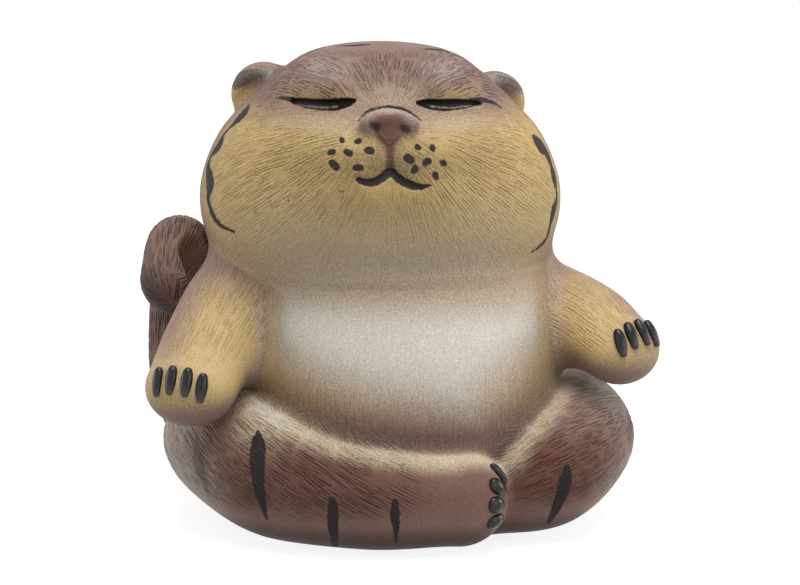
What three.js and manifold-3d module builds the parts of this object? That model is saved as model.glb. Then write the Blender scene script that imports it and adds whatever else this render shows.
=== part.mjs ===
// Seated tiger tea pet in unglazed stoneware, built as a potter builds it: pressed half shells for the
// trunk and the head, rolled limbs and tail, cupped ears, a nose pad, inlaid claws and a vented base,
// every piece luted to its neighbour across a thin layer of slip. Millimetres, +Z up, face towards -Y.
import * as THREE from 'three';
import { mergeVertices } from 'three/addons/utils/BufferGeometryUtils.js';
import Module from 'manifold-3d';

const wasm = await Module();
wasm.setup();

// Clay and joints
const slipJoint = 0.3; // gap that the luting slip fills between two pieces
const clayWall = 4; // wall of the pressed shells
const baseThickness = 4;
const ventDiameter = 7; // lets the hollow breathe in the kiln
const ventSetback = 11; // vent centre behind the middle of the base

// Main sizes of the figure
const trunkWidth = 52;
const bellyReach = 29.6; // from the middle of the trunk to the front of the belly
const backReach = 27;
const neckHeight = 40.5; // level seam between trunk and head
const headWidth = 55.8;
const headHeight = 33.5; // from the neck seam to the crown
const faceReach = 29.2; // from the middle of the head to the muzzle
const napeReach = 26.8;
const headOffset = -2.5; // the head sits a little towards the tiger's right
const armDiameter = 14.6;
const legDiameter = 21.2;
const tailDiameter = 10.6;
const tailHeight = 46.3; // top of the tail's curl
const trunkSeam = 2; // the upright seam between front and back half shells, behind the middle
const headSeam = 4;
const sectionPower = 2.15; // 2 is an ellipse, more is squarer

// Outlines of the trunk and the head as shares of their sizes: how high up, then half width and reach
const trunkOutline = [
  { up: -0.2, half: 0.77, front: 0.57, back: 0.74 },
  { up: 0, half: 0.885, front: 0.69, back: 0.85 },
  { up: 0.22, half: 1, front: 0.89, back: 0.98 },
  { up: 0.47, half: 0.985, front: 1, back: 1 },
  { up: 0.69, half: 0.945, front: 0.985, back: 0.97 },
  { up: 0.89, half: 0.91, front: 0.87, back: 0.89 },
  { up: 1.04, half: 0.83, front: 0.73, back: 0.8 },
  { up: 1.16, half: 0.65, front: 0.54, back: 0.63 },
];
const trunkTop = 1.21; // where the trunk's form closes, inside the head
const headOutline = [
  { up: -0.134, half: 0.68, front: 0.6, back: 0.635 },
  { up: -0.015, half: 0.86, front: 0.755, back: 0.8 },
  { up: 0.15, half: 0.975, front: 0.91, back: 0.95 },
  { up: 0.313, half: 1, front: 0.985, back: 1 },
  { up: 0.463, half: 0.945, front: 1, back: 0.98 },
  { up: 0.612, half: 0.84, front: 0.96, back: 0.905 },
  { up: 0.746, half: 0.71, front: 0.835, back: 0.77 },
  { up: 0.866, half: 0.55, front: 0.63, back: 0.58 },
  { up: 0.964, half: 0.337, front: 0.37, back: 0.36 },
];

// Face
const eyeLevel = 0.78; // levels on the face are shares of the head's height above the neck
const eyeSpacing = 20.8; // between the middles of the two closed eyes
const eyeLength = 11.5;
const eyeSag = 1; // drop of the lid line below its ends
const lidGroove = 0.75; // radius of the groove under each upper lid
const muzzleLevel = 0.507;
const muzzleSpacing = 10;
const muzzleSwell = 1.1;
const muzzleReach = 5.5;
const browLevel = 0.88;
const browSpacing = 17;
const browSwell = 0.9;
const browReach = 4.6;
const noseLevel = 0.675;
const noseWidth = 8.8;
const noseDepth = 5.2; // top edge to lower point of the nose pad
const noseRise = 1.55; // how far the pad stands out of the face
const noseRoot = 1.55; // and how far its blank reaches in before it is cut to the face
const noseRounding = 0.66;
const nostrilSpacing = 4.4;
const nostrilDrop = 0.65; // below the middle of the pad
const nostrilDiameter = 1.5;
const mouthLevel = 0.504;
const mouthWidth = 10.4;
const mouthDrop = 2; // each side of the lip line hangs this much below its middle
const mouthLift = 0.5; // turn up at the corners of the mouth
const mouthPeak = 1.45; // half width of the peak under the nose
const mouthGroove = 0.55;

// Ears
const earDiameter = 10.6;
const earThickness = 4.6;
const earLevel = 0.75;
const earDrop = 1.9; // the tiger's left ear sits this much lower than the right one
const earTurn = { right: 22, left: 29 }; // degrees from the side of the head towards the back
const earBowl = 7.4; // diameter of the hollow in the ear
const earBowlDepth = 1.7;
const earBowlShift = 0.6; // the hollow sits this much towards the outer rim
const earSink = 0.9; // how far the ear's middle is set into the head
const earLean = 31; // degrees that the ear points up from level
const earOpen = 24; // degrees that its hollow turns outwards from straight ahead

// Limbs as stations along their middle line, the first inside the trunk: across and along as shares of the
// trunk's half width and reach, up as a share of the limb's height, girth of its radius, flat of its width
const rightArmShares = [
  { across: -0.58, along: 0, up: 0.89, girth: 0.96, flat: 1 },
  { across: -0.91, along: -0.235, up: 0.855, girth: 1.01, flat: 1 },
  { across: -1.115, along: -0.49, up: 0.73, girth: 0.99, flat: 0.95 },
  { across: -1.22, along: -0.695, up: 0.6, girth: 1, flat: 0.8 },
];
const leftArmShares = [
  { across: 0.58, along: 0.035, up: 0.85, girth: 0.96, flat: 1 },
  { across: 0.91, along: -0.135, up: 0.81, girth: 0.97, flat: 1 },
  { across: 1.14, along: -0.32, up: 0.735, girth: 0.96, flat: 0.95 },
  { across: 1.285, along: -0.475, up: 0.67, girth: 0.93, flat: 0.8 },
];
const rightLegShares = [
  { across: -0.655, along: 0.37, up: 1.09, girth: 0.98, flat: 1 },
  { across: -1.01, along: -0.1, up: 1.13, girth: 0.98, flat: 1 },
  { across: -0.75, along: -0.59, up: 1.06, girth: 1, flat: 1 },
  { across: -0.19, along: -0.84, up: 0.87, girth: 0.84, flat: 1 },
  { across: 0.3, along: -0.89, up: 0.82, girth: 0.62, flat: 1 },
];
const leftLegShares = [
  { across: 0.655, along: 0.37, up: 1.09, girth: 0.98, flat: 1 },
  { across: 1.015, along: -0.135, up: 1.17, girth: 1, flat: 1 },
  { across: 0.845, along: -0.57, up: 1, girth: 0.905, flat: 1 },
  { across: 0.385, along: -0.66, up: 0.755, girth: 0.7, flat: 1 },
];
const tailShares = [
  { across: -0.115, along: 0.78, up: 0.173, girth: 1.02, flat: 1 },
  { across: -0.69, along: 0.965, up: 0.151, girth: 1.02, flat: 1 },
  { across: -1.155, along: 0.76, up: 0.205, girth: 0.98, flat: 1 },
  { across: -1.325, along: 0.54, up: 0.43, girth: 0.96, flat: 1 },
  { across: -1.325, along: 0.51, up: 0.715, girth: 0.96, flat: 1 },
  { across: -1.3, along: 0.28, up: 0.886, girth: 1, flat: 1 },
  { across: -1.325, along: 0.045, up: 0.8, girth: 1.04, flat: 1 },
];

// Claws: pellets of dark clay pressed into sockets
const clawsOnPaw = 4;
const handClaw = { length: 4.3, width: 1.7, height: 1.6 };
const handClawTilt = 58; // degrees from the tip of the paw
const handClawMiddle = 14; // degrees from the top of the paw to the middle of its row of claws
const handClawPitch = 24; // degrees between neighbours round the paw
const footClaw = { length: 3, width: 2.2, height: 1.6 };
const footClawTilt = 44;
const footClawPitch = 33;
const footClawStart = 14; // degrees from the top of the foot to the first toe

// Finishes
const clay = (color, roughness) => new THREE.MeshStandardMaterial({ color, roughness, metalness: 0 });
const brownClay = clay(0x7a5a50, 0.7);
const yellowSlip = clay(0xb39b5f, 0.75);
const whiteSlip = clay(0xb8aea2, 0.8);
const darkSlip = clay(0x36312f, 0.5);

// Smoothly joins a list of numbers: the value at a place counted in whole steps along the list.
function through(values, place) {
  const last = values.length - 1;
  const i = Math.min(Math.floor(place), last - 1);
  const f = place - i;
  const before = values[Math.max(i - 1, 0)];
  const after = values[Math.min(i + 2, last)];
  const a = values[i];
  const b = values[i + 1];
  const bend = 2 * before - 5 * a + 4 * b - after;
  const turn = 3 * a - before - 3 * b + after;
  return a + 0.5 * f * (b - before + f * (bend + f * turn));
}

// A closed skin over a stack of rings, each counter-clockwise about the way from first pole to last.
function skin(rings, firstPole, lastPole) {
  const count = rings[0].length;
  const points = [firstPole, ...rings.flat(), lastPole];
  const end = points.length - 1;
  const index = [];
  for (let j = 0; j < count; j++) {
    const k = (j + 1) % count;
    index.push(0, 1 + k, 1 + j);
    for (let i = 0; i < rings.length - 1; i++) {
      const low = 1 + i * count;
      const high = low + count;
      index.push(low + j, low + k, high + k, low + j, high + k, high + j);
    }
    index.push(end, end - count + j, end - count + k);
  }
  return new THREE.BufferGeometry().setFromPoints(points).setIndex(index);
}

// Moves each point of a skin along its normal by an amount that may depend on the place.
function swell(geometry, amount) {
  geometry.computeVertexNormals();
  const place = geometry.getAttribute('position');
  const normal = geometry.getAttribute('normal');
  const p = new THREE.Vector3();
  const n = new THREE.Vector3();
  for (let i = 0; i < place.count; i++) {
    p.fromBufferAttribute(place, i);
    n.fromBufferAttribute(normal, i);
    p.addScaledVector(n, amount(p));
    place.setXYZ(i, p.x, p.y, p.z);
  }
  return geometry;
}

// An outline in real sizes, from a low level up.
function sized(outline, low, height, half, front, back) {
  return outline.map((row) => ({
    height: low + row.up * height,
    half: row.half * half,
    front: row.front * front,
    back: row.back * back,
  }));
}

const trunkRows = sized(trunkOutline, 0, neckHeight, trunkWidth / 2, bellyReach, backReach);
const headRows = sized(headOutline, neckHeight, headHeight, headWidth / 2, faceReach, napeReach);
const headLevel = (share) => neckHeight + share * headHeight;
const crownHeight = headLevel(1);

// A limb's stations in real sizes.
function stationsOf(shares, diameter, height) {
  return shares.map(({ across, along, up, girth, flat }) => ({
    at: [(across * trunkWidth) / 2, along * (along < 0 ? bellyReach : backReach), up * height],
    radius: (girth * diameter) / 2,
    flat,
  }));
}

const rightArm = stationsOf(rightArmShares, armDiameter, neckHeight);
const leftArm = stationsOf(leftArmShares, armDiameter, neckHeight);
const rightLeg = stationsOf(rightLegShares, legDiameter, legDiameter / 2);
const leftLeg = stationsOf(leftLegShares, legDiameter, legDiameter / 2);
const tail = stationsOf(tailShares, tailDiameter, tailHeight);

// The section of an outline at a place along its rows, at one angle round the upright axis.
function outlinePoint(rows, centreX, place, angle) {
  const value = (key) => through(rows.map((row) => row[key]), place);
  const power = 2 / sectionPower;
  const c = Math.cos(angle);
  const s = Math.sin(angle);
  const across = Math.sign(c) * Math.abs(c) ** power * value('half');
  const along = Math.sign(s) * Math.abs(s) ** power * value(s < 0 ? 'front' : 'back');
  return new THREE.Vector3(centreX + across, along, value('height'));
}

// The place along the rows where an outline has a given height.
function placeAt(rows, height) {
  let low = 0;
  let high = rows.length - 1;
  for (let i = 0; i < 40; i++) {
    const middle = (low + high) / 2;
    if (through(rows.map((row) => row.height), middle) < height) low = middle;
    else high = middle;
  }
  return low;
}

// Angles round the upright axis from the front, closer together there by the given share.
function anglesRound(count, crowd) {
  return Array.from({ length: count }, (_, i) => {
    const turn = ((i + 0.5) / count - 0.5) * 2 * Math.PI;
    return turn - crowd * Math.sin(turn) - Math.PI / 2;
  });
}

// A closed form lofted through the rows, with a rounded top and a flat foot.
function loft(rows, centreX, angles, ringCount, top) {
  const pole = { height: top, half: 0, front: 0, back: 0 };
  const below = rows[rows.length - 1];
  const mirrored = { height: below.height, half: -below.half, front: -below.front, back: -below.back };
  const all = [...rows, pole, mirrored];
  const rings = [];
  for (let i = 0; i < ringCount; i++) {
    const place = (i / ringCount) * rows.length;
    rings.push(angles.map((angle) => outlinePoint(all, centreX, place, angle)));
  }
  const foot = new THREE.Vector3(centreX, 0, rows[0].height);
  return skin(rings, foot, new THREE.Vector3(centreX, 0, top));
}

// A limb: round or flattened sections along a smooth middle line, with a dome past each end.
function limbFrames(stations, steps) {
  const curve = new THREE.CatmullRomCurve3(stations.map((s) => new THREE.Vector3(...s.at)));
  const between = (key, share) => through(stations.map((s) => s[key]), share * (stations.length - 1));
  const up = new THREE.Vector3(0, 0, 1);
  return Array.from({ length: steps + 1 }, (_, i) => {
    const along = curve.getTangent(i / steps);
    up.addScaledVector(along, -up.dot(along)).normalize();
    const side = new THREE.Vector3().crossVectors(along, up);
    const wide = between('radius', i / steps);
    const high = wide * between('flat', i / steps);
    return { centre: curve.getPoint(i / steps), along, up: up.clone(), side, wide, high };
  });
}

// A point on a section: forward along the limb as a share of its height, and round it from its top.
function onSection(frame, forward, size, angle) {
  return frame.centre
    .clone()
    .addScaledVector(frame.along, forward * frame.high)
    .addScaledVector(frame.up, size * frame.high * Math.cos(angle))
    .addScaledVector(frame.side, size * frame.wide * Math.sin(angle));
}

function ringOf(frame, forward, size, sides) {
  return Array.from({ length: sides }, (_, j) => onSection(frame, forward, size, (j / sides) * 2 * Math.PI));
}

function limb(stations, steps, sides, domeRings = 3) {
  const frames = limbFrames(stations, steps);
  const first = frames[0];
  const last = frames[steps];
  const rings = frames.map((frame) => ringOf(frame, 0, 1, sides));
  for (let i = 1; i <= domeRings; i++) {
    const lean = (i / (domeRings + 1)) * (Math.PI / 2);
    rings.unshift(ringOf(first, -Math.sin(lean), Math.cos(lean), sides));
    rings.push(ringOf(last, Math.sin(lean), Math.cos(lean), sides));
  }
  return skin(rings, onSection(first, -1, 0, 0), onSection(last, 1, 0, 0));
}

// Solids
function solid(geometry) {
  const bare = geometry.clone();
  bare.deleteAttribute('normal');
  bare.deleteAttribute('uv');
  const merged = mergeVertices(bare, 1e-4);
  const vertProperties = new Float32Array(merged.getAttribute('position').array);
  const triVerts = new Uint32Array(merged.index.array);
  return new wasm.Manifold(new wasm.Mesh({ numProp: 3, vertProperties, triVerts }));
}

function box(low, high) {
  const size = new THREE.Vector3().subVectors(high, low);
  const middle = new THREE.Vector3().addVectors(low, high).multiplyScalar(0.5);
  return solid(new THREE.BoxGeometry(size.x, size.y, size.z).translate(middle.x, middle.y, middle.z));
}

const far = 200;
const above = (z) => box(new THREE.Vector3(-far, -far, z), new THREE.Vector3(far, far, far));
const below = (z) => box(new THREE.Vector3(-far, -far, -far), new THREE.Vector3(far, far, z));
const before = (y) => box(new THREE.Vector3(-far, -far, -far), new THREE.Vector3(far, y, far));
const behind = (y) => box(new THREE.Vector3(-far, y, -far), new THREE.Vector3(far, far, far));

function geometryOf(made) {
  const mesh = made.getMesh();
  const geometry = new THREE.BufferGeometry();
  geometry.setAttribute('position', new THREE.BufferAttribute(mesh.vertProperties, mesh.numProp));
  geometry.setIndex(new THREE.BufferAttribute(mesh.triVerts, 1));
  const flat = geometry.toNonIndexed();
  flat.computeVertexNormals();
  return flat;
}

function piece(name, made, material) {
  const mesh = new THREE.Mesh(geometryOf(made), material);
  mesh.name = name;
  return mesh;
}

// Head: a broad bun with the face looking up at its upper front
const mound = (x, z, reach) => Math.exp(-(x * x + z * z) / (reach * reach));

function faceRelief(p) {
  if (p.y > 0) return 0;
  const x = Math.abs(p.x - headOffset);
  const muzzle = muzzleSwell * mound(x - muzzleSpacing / 2, p.z - headLevel(muzzleLevel), muzzleReach);
  const brow = browSwell * mound(x - browSpacing / 2, p.z - headLevel(browLevel), browReach);
  return muzzle + brow;
}

const headAngles = anglesRound(40, 0.4);
const headForm = (grow) =>
  solid(swell(loft(headRows, headOffset, headAngles, 24, crownHeight), (p) => grow + faceRelief(p)));
const headHollow = () =>
  solid(swell(loft(headRows, headOffset, anglesRound(24, 0), 12, crownHeight), () => -clayWall));

// The head's skin at a height and an angle from straight ahead, with the outward normal there.
function onHead(height, degreesFromFront) {
  const place = placeAt(headRows, height);
  const angle = THREE.MathUtils.degToRad(degreesFromFront - 90);
  const step = 1e-3;
  const at = outlinePoint(headRows, headOffset, place, angle);
  const round = outlinePoint(headRows, headOffset, place, angle + step).sub(at);
  const up = outlinePoint(headRows, headOffset, place + step, angle).sub(at);
  const normal = new THREE.Vector3().crossVectors(round, up).normalize();
  at.addScaledVector(normal, faceRelief(at));
  return { at, normal, up: up.normalize() };
}

// The head's skin straight behind a point drawn on the front elevation.
function onFace(x, height) {
  const row = placeAt(headRows, height);
  const half = through(headRows.map((r) => r.half), row);
  const across = Math.min(Math.abs(x) / half, 1) ** (sectionPower / 2);
  return onHead(height, THREE.MathUtils.radToDeg(Math.asin(across)) * Math.sign(x));
}

// A round groove cut along a line drawn on the front elevation of the face.
function faceGroove(line, radius) {
  const stations = line.map(([x, height]) => ({ at: onFace(x, height).at.toArray(), radius, flat: 1 }));
  return solid(limb(stations, 12, 6, 1));
}

function lidLine(side) {
  const middle = (side * eyeSpacing) / 2;
  return [-0.5, -0.2, 0.2, 0.5].map((share) => {
    const sag = eyeSag * (1 - 4 * share * share);
    return [middle + share * eyeLength, headLevel(eyeLevel) - sag];
  });
}

const lipLine = [-0.5, -0.38, -0.25, -0.12, 0, 0.12, 0.25, 0.38, 0.5].map((share) => {
  const drop = mouthDrop * (1 - mound(share * mouthWidth, 0, mouthPeak));
  return [share * mouthWidth, headLevel(mouthLevel) - drop + mouthLift * (2 * share) ** 4];
});

// Nose pad: a rounded triangle, pointing down, pressed on to the face
function nosePad() {
  const half = noseWidth / 2;
  const rise = noseDepth / 2;
  const shape = new THREE.Shape();
  shape.moveTo(-half * 0.75, rise);
  shape.quadraticCurveTo(0, rise * 1.3, half * 0.75, rise);
  shape.quadraticCurveTo(half * 1.1, rise * 0.7, half * 0.9, 0);
  shape.quadraticCurveTo(half * 0.4, -rise * 0.5, half * 0.16, -rise);
  shape.quadraticCurveTo(0, -rise * 1.15, -half * 0.16, -rise);
  shape.quadraticCurveTo(-half * 0.4, -rise * 0.5, -half * 0.9, 0);
  shape.quadraticCurveTo(-half * 1.1, rise * 0.7, -half * 0.75, rise);
  const round = noseRounding;
  const rounding = { bevelThickness: round, bevelSize: round, bevelOffset: -round, bevelSegments: 2 };
  const depth = noseRise + noseRoot;
  const pad = new THREE.ExtrudeGeometry(shape, { depth, curveSegments: 4, ...rounding });
  return pad.translate(0, 0, -noseRoot);
}

function noseSolid() {
  const seat = onFace(0, headLevel(noseLevel));
  const out = seat.normal;
  const across = new THREE.Vector3().crossVectors(seat.up, out).normalize();
  const up = new THREE.Vector3().crossVectors(out, across);
  const place = new THREE.Matrix4().makeBasis(across, up, out).setPosition(seat.at);
  let pad = solid(nosePad().applyMatrix4(place));
  for (const side of [-1, 1]) {
    const nostril = new THREE.SphereGeometry(nostrilDiameter / 2, 8, 6);
    nostril.translate((side * nostrilSpacing) / 2, -nostrilDrop, noseRise + noseRounding);
    pad = pad.subtract(solid(nostril.applyMatrix4(place)));
  }
  return pad;
}

// Ears: cupped discs that face forwards and out
function earSolid(side) {
  const drop = side > 0 ? earDrop : 0;
  const turn = side > 0 ? earTurn.left : earTurn.right;
  const seat = onHead(headLevel(earLevel) - drop, side * (90 + turn));
  const lean = THREE.MathUtils.degToRad(earLean);
  const open = THREE.MathUtils.degToRad(earOpen);
  const out = new THREE.Vector3(side * Math.cos(lean), 0, Math.sin(lean));
  const facing = new THREE.Vector3(side * Math.sin(open), -Math.cos(open), 0);
  facing.addScaledVector(out, -facing.dot(out)).normalize();
  const third = new THREE.Vector3().crossVectors(out, facing);
  const centre = seat.at.clone().addScaledVector(out, -earSink);
  const place = new THREE.Matrix4().makeBasis(out, facing, third).setPosition(centre);
  const half = earDiameter / 2;
  const disc = new THREE.SphereGeometry(1, 16, 10).scale(half, earThickness / 2, half);
  const bowlRadius = earBowl / 2;
  const bowl = new THREE.SphereGeometry(1, 14, 8).scale(bowlRadius, earBowlDepth, bowlRadius);
  bowl.translate(earBowlShift, earThickness / 2, 0);
  return solid(disc.applyMatrix4(place)).subtract(solid(bowl.applyMatrix4(place)));
}

// A claw pellet on the dome at the end of a limb: tilt from the tip, turn round the limb from its top.
function clawSolid(stations, claw, tiltDegrees, turnDegrees, grow) {
  const end = limbFrames(stations, 24).pop();
  const tilt = THREE.MathUtils.degToRad(tiltDegrees);
  const turn = THREE.MathUtils.degToRad(turnDegrees);
  const onDome = (lean, angle) => onSection(end, Math.cos(lean), Math.sin(lean), angle);
  const step = 1e-3;
  const seat = onDome(tilt, turn);
  const down = onDome(tilt - step, turn).sub(seat).normalize();
  const round = onDome(tilt, turn + step).sub(seat);
  const out = new THREE.Vector3().crossVectors(down, round).normalize();
  if (out.dot(new THREE.Vector3().subVectors(seat, end.centre)) < 0) out.negate();
  const across = new THREE.Vector3().crossVectors(out, down);
  const place = new THREE.Matrix4().makeBasis(down, across, out).setPosition(seat);
  const pellet = new THREE.SphereGeometry(1, 8, 6);
  pellet.scale(claw.length / 2 + grow, claw.width / 2 + grow, claw.height / 2 + grow);
  return solid(pellet.applyMatrix4(place));
}

// The turns of a row of claws, spread evenly about a middle.
const clawTurns = (middle, pitch) =>
  Array.from({ length: clawsOnPaw }, (_, i) => middle + (i - (clawsOnPaw - 1) / 2) * pitch);
const footMiddle = footClawStart + (footClawPitch * (clawsOnPaw - 1)) / 2;

function clawRow(stations, claw, tilt, turns, grow) {
  return turns.map((turn) => clawSolid(stations, claw, tilt, turn, grow));
}

// Forms before they are cut to meet each other
const trunkAngles = anglesRound(32, 0.2);
const trunkTopHeight = trunkTop * neckHeight;
const trunkForm = (grow) => solid(swell(loft(trunkRows, 0, trunkAngles, 16, trunkTopHeight), () => grow));
const trunkHollow = (grow) =>
  solid(swell(loft(trunkRows, 0, anglesRound(24, 0), 12, trunkTopHeight), () => grow - clayWall));
const limbForm = (stations, steps, sides, grow) => solid(swell(limb(stations, steps, sides), () => grow));

const trunkEnvelope = trunkForm(slipJoint);
const headEnvelope = headForm(slipJoint);
const rightLegEnvelope = limbForm(rightLeg, 18, 16, slipJoint);
const leftLegEnvelope = limbForm(leftLeg, 16, 16, slipJoint);
const rightArmEnvelope = limbForm(rightArm, 10, 16, slipJoint);
const cutBy = (made, ...others) => others.reduce((left, other) => left.subtract(other), made);

// Trunk: two half shells closed underneath by the vented base
const trunkShell = trunkForm(0)
  .subtract(trunkHollow(0))
  .intersect(above(0))
  .intersect(below(neckHeight - slipJoint / 2));
const trunkFront = trunkShell.intersect(before(trunkSeam - slipJoint / 2));
const trunkBack = trunkShell.intersect(behind(trunkSeam + slipJoint / 2));
const vent = new THREE.CylinderGeometry(ventDiameter / 2, ventDiameter / 2, 3 * baseThickness, 24);
vent.rotateX(Math.PI / 2).translate(0, ventSetback, 0);
const baseSlab = trunkHollow(-slipJoint)
  .intersect(above(0))
  .intersect(below(baseThickness))
  .subtract(solid(vent));

// Head: a face half and a crown half over an open neck
const headShell = headForm(0)
  .subtract(headHollow())
  .intersect(above(neckHeight + slipJoint / 2));
const grooves = [lidLine(-1), lidLine(1)].map((line) => faceGroove(line, lidGroove));
grooves.push(faceGroove(lipLine, mouthGroove));
const noseSeat = noseSolid();
const face = cutBy(headShell.intersect(before(headSeam - slipJoint / 2)), ...grooves);
const crown = headShell.intersect(behind(headSeam + slipJoint / 2));

// Limbs, cut where they meet the trunk, the head, the board and each other
const rightHandTurns = clawTurns(-handClawMiddle, handClawPitch);
const leftHandTurns = clawTurns(handClawMiddle, handClawPitch);
const footTurns = clawTurns(footMiddle, footClawPitch);
const rightHandSockets = clawRow(rightArm, handClaw, handClawTilt, rightHandTurns, slipJoint);
const leftHandSockets = clawRow(leftArm, handClaw, handClawTilt, leftHandTurns, slipJoint);
const rightFootSockets = clawRow(rightLeg, footClaw, footClawTilt, footTurns, slipJoint);
const board = below(0);
const legRight = cutBy(limbForm(rightLeg, 18, 16, 0), trunkEnvelope, board, ...rightFootSockets);
const legLeft = cutBy(limbForm(leftLeg, 16, 16, 0), trunkEnvelope, board, rightLegEnvelope);
const armRight = cutBy(
  limbForm(rightArm, 10, 16, 0), trunkEnvelope, headEnvelope, rightLegEnvelope, ...rightHandSockets,
);
const armLeft = cutBy(
  limbForm(leftArm, 10, 16, 0), trunkEnvelope, headEnvelope, leftLegEnvelope, ...leftHandSockets,
);
const tailPiece = cutBy(
  limbForm(tail, 26, 12, 0), trunkEnvelope, headEnvelope, rightLegEnvelope, rightArmEnvelope, board,
);

// The figure
const figure = new THREE.Group();
const trunkGroup = new THREE.Group();
const headGroup = new THREE.Group();
const limbGroup = new THREE.Group();
figure.add(trunkGroup, headGroup, limbGroup);

trunkGroup.add(
  piece('trunk_front_shell', trunkFront, whiteSlip),
  piece('trunk_back_shell', trunkBack, brownClay),
  piece('base_slab', baseSlab, brownClay),
);
headGroup.add(
  piece('face_shell', face, yellowSlip),
  piece('crown_shell', crown, brownClay),
  piece('nose_pad', cutBy(noseSeat, headEnvelope), brownClay),
  piece('right_ear', cutBy(earSolid(-1), headEnvelope), brownClay),
  piece('left_ear', cutBy(earSolid(1), headEnvelope), brownClay),
);
limbGroup.add(
  piece('right_arm', armRight, yellowSlip),
  piece('left_arm', armLeft, yellowSlip),
  piece('right_leg', legRight, brownClay),
  piece('left_leg', legLeft, brownClay),
  piece('tail', tailPiece, brownClay),
);
const clawRows = {
  right_hand_claw: clawRow(rightArm, handClaw, handClawTilt, rightHandTurns, 0),
  left_hand_claw: clawRow(leftArm, handClaw, handClawTilt, leftHandTurns, 0),
  right_foot_claw: clawRow(rightLeg, footClaw, footClawTilt, footTurns, 0),
};
for (const [name, row] of Object.entries(clawRows)) {
  row.forEach((claw, i) => limbGroup.add(piece(`${name}_${i + 1}`, claw, darkSlip)));
}

export default figure;
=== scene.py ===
"""Looks of a seated tiger tea pet, laid out as an add-on and run as a script.

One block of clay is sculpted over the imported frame, then parted into head, trunk, limbs, tail, ears
and nose, with sprayed slips, combed hair and brushed marks on its skin. Claws are pellets set on it.
Lengths are millimetres until a mesh is made.
"""

import functools
import math
from dataclasses import dataclass

import bpy
import numpy as np
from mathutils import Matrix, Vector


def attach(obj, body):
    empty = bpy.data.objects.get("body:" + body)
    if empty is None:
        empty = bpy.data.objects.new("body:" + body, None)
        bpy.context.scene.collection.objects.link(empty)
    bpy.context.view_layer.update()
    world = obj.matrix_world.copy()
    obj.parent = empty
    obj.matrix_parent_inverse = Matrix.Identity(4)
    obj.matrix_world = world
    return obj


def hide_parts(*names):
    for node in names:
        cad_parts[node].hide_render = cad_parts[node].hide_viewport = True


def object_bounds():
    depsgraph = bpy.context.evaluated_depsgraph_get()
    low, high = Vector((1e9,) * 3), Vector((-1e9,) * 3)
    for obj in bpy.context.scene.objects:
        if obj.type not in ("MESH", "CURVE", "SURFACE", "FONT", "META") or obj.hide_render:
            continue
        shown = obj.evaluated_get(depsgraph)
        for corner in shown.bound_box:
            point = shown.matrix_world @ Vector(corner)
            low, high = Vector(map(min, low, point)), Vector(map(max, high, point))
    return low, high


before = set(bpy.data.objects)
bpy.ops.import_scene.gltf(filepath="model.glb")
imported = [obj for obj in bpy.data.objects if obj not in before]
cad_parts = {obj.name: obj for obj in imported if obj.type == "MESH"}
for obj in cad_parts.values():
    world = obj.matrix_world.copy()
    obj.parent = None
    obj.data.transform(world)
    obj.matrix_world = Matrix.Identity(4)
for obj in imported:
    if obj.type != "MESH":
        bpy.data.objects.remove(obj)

import openvdb
from bpy.props import FloatProperty, FloatVectorProperty, PointerProperty
from mathutils import Matrix, Vector

bl_info = {
    "name": "Tiger Tea Pet",
    "version": (1, 0, 0),
    "blender": (4, 5, 0),
    "location": "View3D > Sidebar > Tea Pet",
    "description": "Clay skin, slips, brush marks and claws of a seated tiger tea pet",
    "category": "Object",
}

cad_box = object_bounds()

# The camera that took the photograph: a pinhole aimed at a point inside the belly
PHOTO_WIDTH = 800
PHOTO_HEIGHT = 585
CAMERA_AZIMUTH = -3.2
CAMERA_ELEVATION = 9.5
CAMERA_DISTANCE = 430.0
CAMERA_TARGET = (0.0, 0.0, 36.0)
TARGET_PIXEL = (396.0, 285.0)
PIXELS_PER_MM = 6.4
# Rays start this far from the middle, outside the figure, and take so many cautious steps to the skin
RAY_START = 60.0
SIDE_START = 45.0
RAY_STEPS = 160
RAY_CAUTION = 0.8

# Outlines of trunk and head: how high up, half width, reach to the front and to the back, as shares
SECTION_POWER = 2.15
TRUNK_TOP = 1.21
TRUNK_OUTLINE = (
    (-0.2, 0.77, 0.57, 0.74),
    (0.0, 0.885, 0.69, 0.85),
    (0.22, 1.0, 0.89, 0.98),
    (0.47, 0.985, 1.0, 1.0),
    (0.69, 0.945, 0.985, 0.97),
    (0.89, 0.91, 0.87, 0.89),
    (1.04, 0.83, 0.73, 0.8),
    (1.16, 0.65, 0.54, 0.63),
)
HEAD_OUTLINE = (
    (-0.134, 0.68, 0.6, 0.635),
    (-0.015, 0.86, 0.755, 0.8),
    (0.15, 0.975, 0.91, 0.95),
    (0.313, 1.0, 0.985, 1.0),
    (0.463, 0.96, 1.0, 0.98),
    (0.612, 0.868, 0.96, 0.905),
    (0.746, 0.715, 0.835, 0.77),
    (0.866, 0.56, 0.63, 0.58),
    (0.964, 0.355, 0.37, 0.36),
)

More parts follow.
